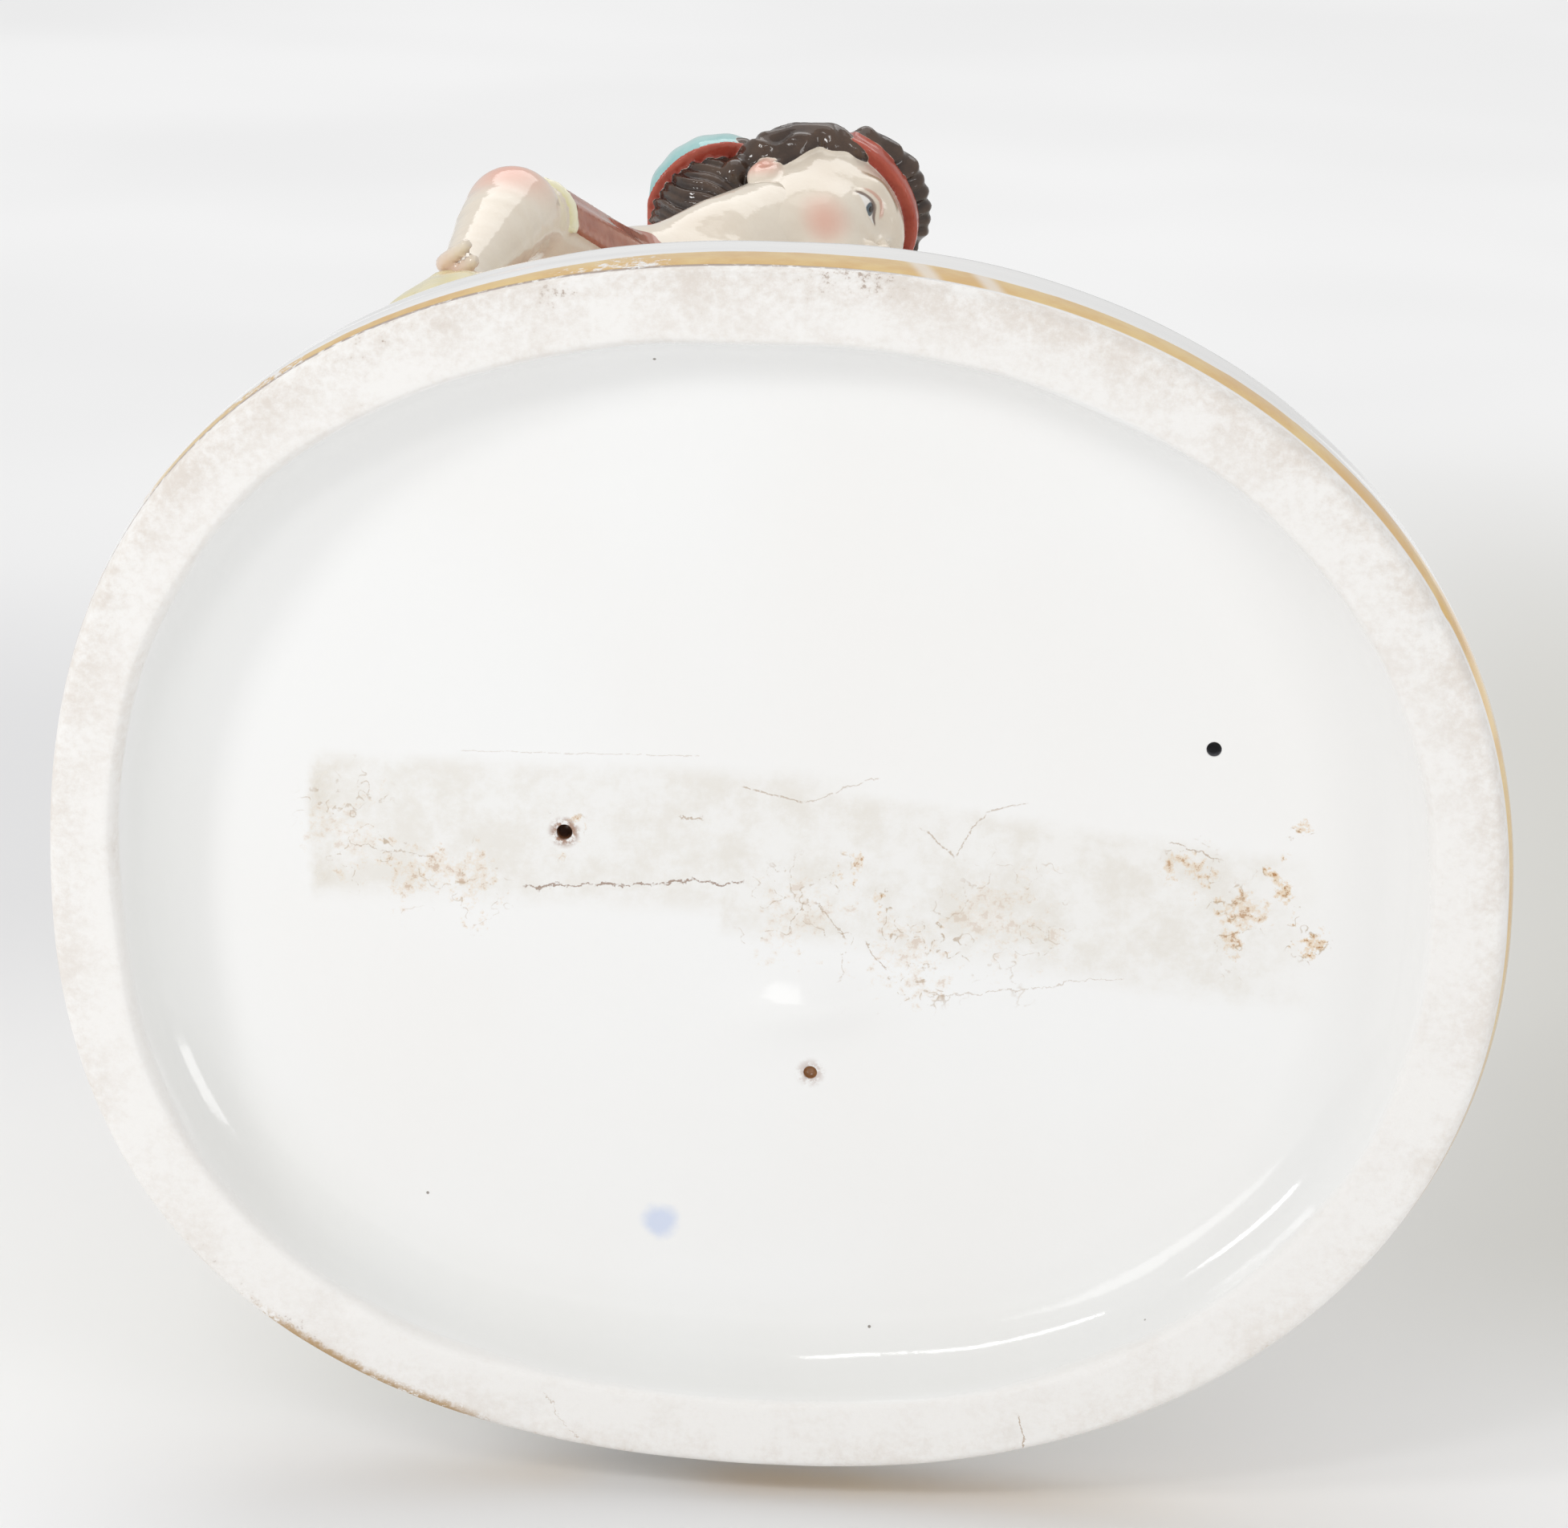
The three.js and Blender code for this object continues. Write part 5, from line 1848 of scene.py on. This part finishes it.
    def head(self) -> Piece:
        """Models the head with its combed hair, ribbon, knot of hair and cap."""
        place = (np.array(v) for v in (self.head_spot, self.head_forward, self.head_up))
        head = Head(*place, self.head_height, self.hairline)
        clay = Clay(head.centre - 25.0, head.centre + 25.0, 0.36)
        head.model(clay)
        size = head.height
        clay.add_limbs(self.nape, Paint.FLESH, 4.0)
        head.add_hair(clay, head.ball(-0.06, 0, 0.11, 0.455, 0.39, 0.42))
        for s in (-1, 1):
            head.add_hair(clay, head.ball(-0.1, 0.2 * s, 0.16, 0.26, 0.2, 0.2), 1.6)
            roll = [(f, side * s, u) for f, side, u in self.side_roll]
            head.add_hair(clay, head.rod(roll, [0.05, 0.085, 0.08, 0.06]), 0.8)

        def capped(points: Array) -> Array:
            """Keeps the upper back part of the knot, which the cap covers."""
            f, _, u = np.moveaxis(head.local(points), -1, 0)
            return (0.75 * (u + 0.06) - 0.66 * (f + 0.44)) * size

        def banded(points: Array) -> Array:
            """Keeps a flat ribbon round the head."""
            f, _, u = np.moveaxis(head.local(points), -1, 0)
            return (0.042 - np.abs(u - 0.262 - 0.05 * (0.1 - f))) * size

        def edged(points: Array) -> Array:
            """Keeps a narrow band along the cap's edge."""
            return 0.36 - np.abs(capped(points) + 0.1)

        knot = head.ball(-0.445, 0.04, -0.09, 0.31, 0.32, 0.3)
        clay.add(Relief(knot, head.combed, 0.014 * size), Paint.HAIR, 0.6)
        cap = Relief(head.ball(-0.48, 0.04, 0.0, 0.345, 0.37, 0.355), self._gathered(head), 0.08)
        clay.add(Within(cap, capped), Paint.TEAL, 0.3)
        clay.add(Within(head.ball(-0.48, 0.04, 0.0, 0.37, 0.392, 0.38), edged, 0.3), Paint.RIBBON, 0.2)
        clay.add(Within(head.ball(-0.06, 0, 0.11, 0.475, 0.41, 0.44), banded), Paint.RIBBON, 0.3)
        head.add_hair(clay, head.rod(list(self.brow_roll), [0.05, 0.056, 0.058, 0.056, 0.05]), 1.6)
        for i in range(7):
            turn, reach = 2.4 * i, 0.5 + i / 9
            ahead, up = -0.3 + 0.13 * math.cos(turn) * reach, 0.02 + 0.16 * math.sin(turn) * reach
            clay.add(head.ball(ahead, 0.33 - 0.012 * i, up, 0.065, 0.07, 0.065), Paint.HAIR, 0.5)
        waves = ((math.sin(2.2 * i), math.cos(2.2 * i), i) for i in range(8))
        curl = [(-0.28 + 0.05 * a, -0.3 + 0.05 * b, -0.2 - 0.075 * i) for a, b, i in waves]
        clay.add(head.rod(curl, [0.06, 0.055, 0.05, 0.03]), Paint.HAIR, 0.3)
        blushes = tuple(Blush(tuple(head.at(0.2, s * 0.16, -0.24)), 5.6, 0.8) for s in (-1, 1))
        blushes += tuple(Blush(tuple(head.at(-0.14, s * 0.37, -0.1)), 4.0, 0.6) for s in (-1, 1))
        paints = (Paint.TEAL, Paint.RIBBON, Paint.HAIR)
        finish = Enamels("head_enamel", Paint.FLESH, paints, blushes, face=head)
        return cast(clay, "woman_head", finish, head.values)


@dataclass
class Boy:
    """The small boy, who stands at her knee and lays a hand in her lap."""

    head_spot: Point = (38.0, -11.0, 105.0)
    head_forward: Point = (-0.86, -0.34, 0.38)
    head_up: Point = (0.34, 0.14, 0.93)
    head_height: float = 21.5
    across: Point = (0.34, -0.94, 0.0)
    coat: tuple = (
        (52, 41.5, -4, 9.8, 12.4, 0.05, 2),
        (58, 41.5, -4, 9.4, 11.6, 0.04, 1),
        (66, 41, -5, 8.4, 10.0, 0.02, 0),
        (72, 40.5, -6, 7.6, 9.0, 0.0, 0),
    )
    throat: Limbs = ((((40.5, -7, 87), (39, -9.5, 97)), (4.2, 4.0)),)
    trunk: Path = ((41, -5, 62), (40, -6, 70), (41, -6.5, 82), (40.5, -7, 88))
    legs: tuple[Path, ...] = (
        ((39, -10, 60), (37.5, -12.5, 45), (40, -12, 26), (32, -15, 22.8)),
        ((42, 2, 60), (41, 3, 45), (44, 3, 26), (36, 1, 22.8)),
    )
    arms: tuple[Path, ...] = (
        ((37, -14.5, 85.5), (29, -24, 80), (21, -29, 86.5)),
        ((42, 2, 85.5), (48.5, 10, 76), (45.5, 9, 66)),
    )
    hands: tuple[Hand, ...] = (
        Hand((20.5, -29.2, 87.0), (-0.85, -0.45, -0.1), (0.0, 0.1, -1.0), 11.5, 0.4, -1),
        Hand((45.3, 8.8, 65.2), (-0.2, -0.1, -1.0), (-0.7, -0.7, 0.0), 11.5, 0.6),
    )
    collar: Limbs = ((((36, -14, 91.5), (33.5, -8.5, 88), (35, -2, 91.5)), (1.6, 2.2, 1.6)),)
    jabot: Limbs = ((((33.5, -8.8, 88), (31.8, -9.2, 82)), (2.0, 1.4)),)
    buttons: int = 5
    curls: int = 46
    hairline: Line = (
        (-0.5, -0.42, -0.2, -0.06, 0.05, 0.2, 0.34, 0.5),
        (-0.38, -0.34, -0.26, -0.1, 0.08, 0.18, 0.22, 0.23),
    )

    def body(self) -> Piece:
        """Models the clothed body."""
        clay = Clay(vec(6, -42, 15), vec(62, 24, 104), 0.5)
        clay.add_limbs(self.throat, Paint.FLESH, 1.0)
        clay.add(Limb(self.trunk, [7.4, 7.2, 7.0, 4.8], self.across, 1.15), Paint.BLUE, 2.0)
        clay.add(Bell(self.coat, (-0.94, -0.34), (7, 5), 0.2), Paint.BLUE, 2.5)
        for leg in self.legs:
            self._leg(clay, *leg)
        for arm in self.arms:
            clay.add(Limb(arm, [4.2, 3.7, 2.7]), Paint.BLUE, 1.2)
            self._cuffs(clay, np.array(arm[1]), np.array(arm[2]))
        for hand in self.hands:
            hand.model(clay)
        clay.add_limbs(self.collar, Paint.WHITE, 0.6)
        clay.add_limbs(self.jabot, Paint.WHITE, 0.8)
        for i in range(self.buttons):
            button = Ball((31.6 - 0.25 * i, -9.0 + 0.1 * i, 79.5 - 4.6 * i), (1.0, 1.0, 1.0))
            clay.add(button, Paint.GOLD, 0.15)
        paints = (Paint.BLUE, Paint.YELLOW, Paint.WHITE, Paint.PINK, Paint.BLACK, Paint.GOLD)
        return cast(clay, "boy_body", Enamels("boy_enamel", Paint.FLESH, paints))

    def _leg(self, clay: Clay, hip: Point, knee: Point, foot: Point, toe: Point) -> None:
        """Adds a stocking, half of the breeches, a shoe and its buckle.

        Args:
            clay: The clay to work in.
            hip: The top of the leg.
            knee: The knee.
            foot: The ankle.
            toe: The tip of the shoe.
        """
        calf = (0.35 * knee[0] + 0.65 * foot[0] + 1.4, 0.35 * knee[1] + 0.65 * foot[1], 36)
        clay.add(Limb([knee, calf, foot, (*foot[:2], 21)], [3.5, 3.9, 2.6, 2.5]), Paint.WHITE, 0.6)
        clay.add(Limb([hip, knee, (*knee[:2], 43)], [6.4, 4.9, 4.0]), Paint.YELLOW, 0.8)
        clay.add(Limb([(*foot[:2], 22.5), toe], [3.5, 2.7]), Paint.BLACK, 0.4)
        buckle = (0.45 * foot[0] + 0.55 * toe[0] - 0.4, 0.45 * foot[1] + 0.55 * toe[1], 25.0)
        clay.add(Ball(buckle, (1.1, 1.4, 1.0)), Paint.GOLD, 0.2)

    def _cuffs(self, clay: Clay, elbow: Array, end: Array) -> None:
        """Adds a pink cuff and a white shirt cuff to a sleeve.

        Args:
            clay: The clay to work in.
            elbow: The elbow.
            end: The wrist.
        """
        run = unit(end - elbow)

        def ring(middle: float, half: float) -> Rule:
            """Returns a rule that keeps a band round the wrist."""
            return lambda points: half - np.abs((points - end) @ run - middle)

        sleeve = [elbow, end + run * 8]
        clay.add(Within(Limb(sleeve, [3.7, 4.0]), ring(-0.4, 1.3)), Paint.PINK, 0.3)
        clay.add(Within(Limb(sleeve, [2.9, 3.0]), ring(1.2, 1.0)), Paint.WHITE, 0.3)

    def head(self) -> Piece:
        """Models the head with short curled hair."""
        place = (np.array(v) for v in (self.head_spot, self.head_forward, self.head_up))
        head = Head(*place, self.head_height, self.hairline, Paint.FAIR)
        clay = Clay(head.centre - 15.5, head.centre + 15.5, 0.3)
        head.model(clay, 1.15)
        head.add_hair(clay, head.ball(-0.07, 0, 0.1, 0.445, 0.39, 0.41))
        chooser = np.random.default_rng(8)
        for i in range(self.curls):
            turn, rise = 2.4 * i, -0.3 + 0.78 * ((i * 0.618) % 1.0)
            reach = math.sqrt(max(0.05, 1.0 - ((rise - 0.1) / 0.43) ** 2))
            spot = (-0.07 + 0.42 * reach * math.cos(turn), 0.37 * reach * math.sin(turn), rise)
            head.add_hair(clay, head.ball(*spot, *(0.075 + 0.03 * chooser.random(3))), 0.25)
        blushes = tuple(Blush(tuple(head.at(0.26, s * 0.17, -0.17)), 3.2, 0.5) for s in (-1, 1))
        finish = Enamels("boy_head_enamel", Paint.FLESH, (Paint.FAIR,), blushes, face=head)
        return cast(clay, "boy_head", finish, head.values)


@dataclass
class Rocks:
    """The heaped rocks that she sits on and the old stump behind her."""

    boulders: tuple[tuple[Point, Point], ...] = (
        ((-38, -4, 34), (25, 25, 25)),
        ((-20, 16, 27), (24, 17, 20)),
        ((30, 34, 19), (17, 13, 8)),
        ((-56, 18, 19), (14, 12, 8.5)),
        ((-46, -26, 22), (17, 16, 14)),
        ((4, 6, 24), (20, 16, 14)),
    )
    trunk: Path = ((0, 25, 16), (-2, 23, 45), (-6, 19, 68), (-4, 18, 86))
    branch_and_roots: Limbs = (
        (((-4, 20, 58), (7, 24, 71), (12, 26, 80)), (5.0, 4.0, 3.4)),
        (((2, 25, 24), (16, 34, 20), (26, 38, 17)), (7.0, 4.5, 3.0)),
        (((-4, 28, 24), (-16, 38, 21), (-24, 43, 16)), (6.0, 4.4, 3.0)),
        (((5, 22, 22), (22, 20, 20), (32, 22, 16)), (5.5, 4.0, 3.0)),
    )

    def build(self) -> Piece:
        """Models rocks, stump, branch and roots, down to just under the ground."""
        clay = Clay(vec(-74, -46, 13), vec(52, 52, 100), 0.85)

        def rough(points: Array) -> Array:
            """Returns the broken surface of rock."""
            x, y, z = np.moveaxis(points, -1, 0)
            broad = np.sin(x / 4.3 + 1.3 * np.sin(z / 6.1)) + np.sin(y / 3.9 + 1.1 * np.sin(x / 7.3))
            broad = broad + np.sin(z / 3.7 + y / 8.0)
            sharp = np.abs(np.sin(x / 7.7 + y / 5.9 + z / 9.1)) + np.abs(np.sin(x / 6.3 - z / 5.2))
            return 0.4 * broad - 0.8 * sharp

        def barked(points: Array) -> Array:
            """Returns the long ridges of bark."""
            x, y, z = np.moveaxis(points, -1, 0)
            turn = np.arctan2(y - 21.0, x + 3.0)
            ridge = np.abs(np.sin(7.0 * turn + 0.9 * np.sin(z / 8.0) + z / 34.0))
            return 1.0 - 1.6 * ridge**0.7 + 0.3 * np.sin(z / 2.3 + 3.0 * turn)

        for centre, radii in self.boulders:
            clay.add(Relief(Ball(centre, radii), rough, 1.5), Paint.WHITE, 3.0)
        clay.add(Relief(Limb(self.trunk, [13.0, 9.5, 8.0, 8.6]), barked, 0.7), Paint.BARK, 2.5)
        clay.carve(Ball((-4, 18, 96), (6.4, 6.4, 6.5)), 1.0)
        for path, radii in self.branch_and_roots:
            clay.add(Relief(Limb(path, radii), barked, 0.4), Paint.BARK, 2.5)
        clay.add(Ball((-9.5, 26, 52), (3.4, 3.0, 4.2)), Paint.BARK, 1.5)
        clay.carve(Ball((-10.5, 28.5, 52), (1.8, 2.0, 2.6)), 0.8)
        washes = (
            Wash(tint(150, 172, 104), 0.04, 0.5, 0.6),
            Wash(tint(178, 142, 100), 0.055, 0.52, 0.55),
            Wash(tint(122, 96, 70), 0.12, 0.58, 0.5, (14.0, 110.0), Paint.BARK),
        )
        return cast(clay, "rocks", Enamels("rock_enamel", Paint.WHITE, (Paint.BARK,), (), washes))


@dataclass
class Basket:
    """A round wicker basket. The rows of its rim and inside are shares of its radius and height."""

    spot: Point = (52.0, -38.0, 20.5)
    radius: float = 11.0
    height: float = 15.0
    around: int = 168
    stakes: int = 21
    courses: int = 7
    wall: float = 0.92
    rim: Rows = ((1.04, 0.93), (1.1, 0.95), (1.13, 1.0), (1.1, 1.05), (1.02, 1.06))
    inside: Rows = ((0.96, 1.0), (0.92, 0.9), (0.6, 0.98), (0.2, 1.02))

    def build(self) -> Piece:
        """Weaves the wall, the rim and the foot as one skin, closed over inside."""
        turn = np.linspace(0, 2 * np.pi, self.around, endpoint=False)
        even = np.ones(self.around)
        rings = [(share * self.radius * even, 0.0 * even) for share in (0.2, 0.74)]
        for level in np.arange(self.courses * 6 + 1) / (self.courses * 6):
            rings.append(self._course(turn, float(level)))
        for share, level in self.rim:
            reach = share * self.radius + 0.4 * np.sin(30 * turn + 9.0 * level)
            rings.append((reach, level * self.height + 0.3 * np.cos(30 * turn)))
        rings += [(share * self.radius * even, level * self.height * even) for share, level in self.inside]
        points = stack_rings(rings) + np.array(self.spot)
        faces = ring_faces(len(rings), self.around)
        edge = points[:, 2] - self.spot[2] - 0.915 * self.height
        values = {"hollow": Skin(points, faces).hollow(), Paint.PINK.label: np.clip(edge, -1.0, 1.0)}
        piece = make_piece("basket", points, faces, values)
        return hand_in(piece, Enamels("basket_enamel", Paint.STRAW, (Paint.PINK,)).make())

    def _course(self, turn: Array, rise: float) -> tuple[Array, Array]:
        """Weaves one ring of the wall, in front of and behind the stakes by turns.

        Args:
            turn: The angles round the basket.
            rise: How far up the wall the ring is, from 0 to 1.

        Returns:
            Its distance from the middle and its height, at each angle.
        """
        reach = (0.72 + 0.3 * rise**0.8) * self.radius
        level = rise * self.wall
        course = level / self.wall * self.courses
        bulge = math.sin(math.pi * (course % 1.0)) ** 0.6 if course % 1.0 else 0.0
        weave = np.sin(0.5 * self.stakes * turn + math.pi * math.floor(course))
        return reach + 0.55 * bulge * weave, np.full(self.around, level * self.height)


@dataclass
class Blossoms:
    """The separately modelled flowers and leaves in the basket and on the mound."""

    ROUND: ClassVar[float] = 6.28

    seed: int = 21
    colours: tuple = (
        (tint(214, 110, 122), tint(246, 218, 216)),
        (tint(236, 206, 108), tint(246, 234, 178)),
        (tint(126, 150, 204), tint(214, 222, 238)),
        (tint(242, 240, 236), tint(226, 176, 182)),
        (tint(176, 118, 168), tint(232, 208, 230)),
    )
    leaf: tuple[Colour, Colour] = (tint(84, 128, 72), tint(150, 176, 104))
    middle: Colour = tint(222, 168, 62)
    spots: tuple = (
        (-62, 30), (-30, 50), (2, 52), (46, 42), (70, 8), (72, -14), (36, -54), (-68, 2), (-60, -32),
        (62, 26), (-46, 44), (58, 4), (18, 56), (68, -28), (-70, 16), (30, -60), (52, 20), (-54, -44),
    )

    def build(self, plinth: Plinth, basket: Basket) -> Piece:
        """Models every flower and leaf into one mesh."""
        work = bmesh.new()
        bmesh.ops.create_icosphere(work, subdivisions=2, radius=1.0)
        work.verts.ensure_lookup_table()
        self.ball = np.array([v.co for v in work.verts])
        self.sides = np.array([[v.index for v in f.verts] for f in work.faces])
        work.free()
        self.parts: list[tuple[Array, Array]] = []
        chooser = np.random.default_rng(self.seed)
        for x, y in self.spots:
            foot = vec(x, y, float(plinth.ground(np.array(x), np.array(y))))
            out = unit(vec(x / 130, y / 130, 1.0) + 0.3 * chooser.normal(size=3) * vec(1, 1, 0))
            self._leaves(foot, out, 6.5, chooser)
            self._flower(foot + out * 1.6, out, 4.0 + 0.7 * chooser.random(), chooser)
            beside = foot + vec(*(5.2 * unit(chooser.normal(size=2))), 0.4)
            self._flower(beside, unit(out + vec(0.3, -0.2, 0)), 2.6, chooser)
        top = np.array(basket.spot) + vec(0, 0, basket.height)
        for i in range(11):
            turn, reach = 2.4 * i, 3.0 * math.sqrt(i)
            out = unit(vec(reach * math.cos(turn), reach * math.sin(turn), 9.0))
            spot = top + vec(out[0] * 13, out[1] * 13, 4.4 * (out[2] - 0.7) / 0.3 - 1.0)
            self._flower(spot, out, 4.3, chooser)
            self._leaves(spot - out, out, 5.0, chooser)
        points = np.concatenate([part[0] for part in self.parts])
        colours = np.concatenate([part[1] for part in self.parts])
        count = len(self.ball)
        faces = np.concatenate([self.sides + i * count for i in range(len(self.parts))])
        piece = make_piece("blossoms", points, faces, {"tint": colours})
        sheet = Sheet("blossom_enamel")
        cloud = sheet.noise(sheet.place()[0], 0.5, 3.0)
        colour = sheet.mix(cloud.rise(0.45, 0.75) * 0.4, sheet.colour("tint"), tint(246, 244, 238))
        return hand_in(piece, sheet.finish(colour, 0.1 + 0.06 * cloud))

    def _sheet(self, spot: Array, axes: Array, sizes: tuple, inner: tuple, outer: tuple) -> None:
        """Adds one petal or leaf.

        Args:
            spot: Where it grows from.
            axes: Its length, its width and its upper side, as rows.
            sizes: Its length, width and thickness, how far it cups, and how far it droops at the tip.
            inner: Its colour near the root.
            outer: Its colour near the tip.
        """
        long, wide, thick, cup, droop = sizes
        x, y, z = self.ball.T
        along = 0.5 * (x + 1.0)
        width = y * wide * (0.35 + 1.1 * along - 0.55 * along**4)
        reach = along * long * (1.0 - 0.12 * np.exp(-((y / 0.3) ** 2)) * along)
        lift = z * thick + cup * y**2 * along * wide
        lift = lift + cup * 0.8 * along**1.5 * long * 0.6 - droop * long * along**3
        points = spot + np.stack([reach, width, lift], axis=1) @ axes
        share = np.clip(along * 1.2 - 0.1 + 0.12 * np.sin(9 * y), 0, 1)[:, None]
        self.parts.append((points, np.array(inner) * (1 - share) + np.array(outer) * share))

    def _flower(self, spot: Array, out: Array, size: float, chooser: np.random.Generator) -> None:
        """Adds one open flower of two rounds of petals and a middle."""
        first = unit(np.cross(out, chooser.normal(size=3)))
        second = np.cross(out, first)
        inner, outer = self.colours[chooser.integers(len(self.colours))]
        for scale, cup, lift, count in ((1.0, 0.45, 0.0, 5), (0.66, 1.15, 0.3, 4)):
            start = chooser.random() * self.ROUND
            for i in range(count):
                turn = start + 2 * math.pi * i / count
                along = math.cos(turn) * first + math.sin(turn) * second
                axes = np.array([along, np.cross(out, along), out])
                sizes = (size * scale, size * scale * 0.42, 0.11 * size, cup * 0.8, 0.25 * scale)
                self._sheet(spot + out * lift, axes, sizes, inner, outer)
        middle = spot + out * 0.16 * size + self.ball * 0.24 * size
        self.parts.append((middle, np.tile(self.middle, (len(self.ball), 1))))

    def _leaves(self, spot: Array, out: Array, size: float, chooser: np.random.Generator) -> None:
        """Adds three leaves that lie out round a flower."""
        start = chooser.random() * self.ROUND
        for i in range(3):
            turn = start + 2.1 * i + 0.5 * chooser.random()
            along = unit(vec(math.cos(turn), math.sin(turn), 0.15))
            side = unit(np.cross(out, along))
            axes = np.array([along, side, np.cross(along, side)])
            self._sheet(spot + out * 0.3, axes, (size, size * 0.24, 0.4, 0.15, 0.2), *self.leaf)


def main() -> None:
    """Builds the group, the table it lies on and the lights."""
    logging.basicConfig(level=logging.INFO, format="%(message)s")
    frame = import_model()
    LOG.info("frame of %s", ", ".join(frame["nodes"]))
    PhotoCamera().place()
    Studio().build()
    plinth = Plinth()
    hand_in(plinth.build(), *PlinthFinish().make())
    Rocks().build()
    woman = Woman()
    woman.dress()
    woman.body()
    woman.head()
    boy = Boy()
    boy.body()
    boy.head()
    basket = Basket()
    basket.build()
    Blossoms().build(plinth, basket)


if __name__ == "__main__":
    main()
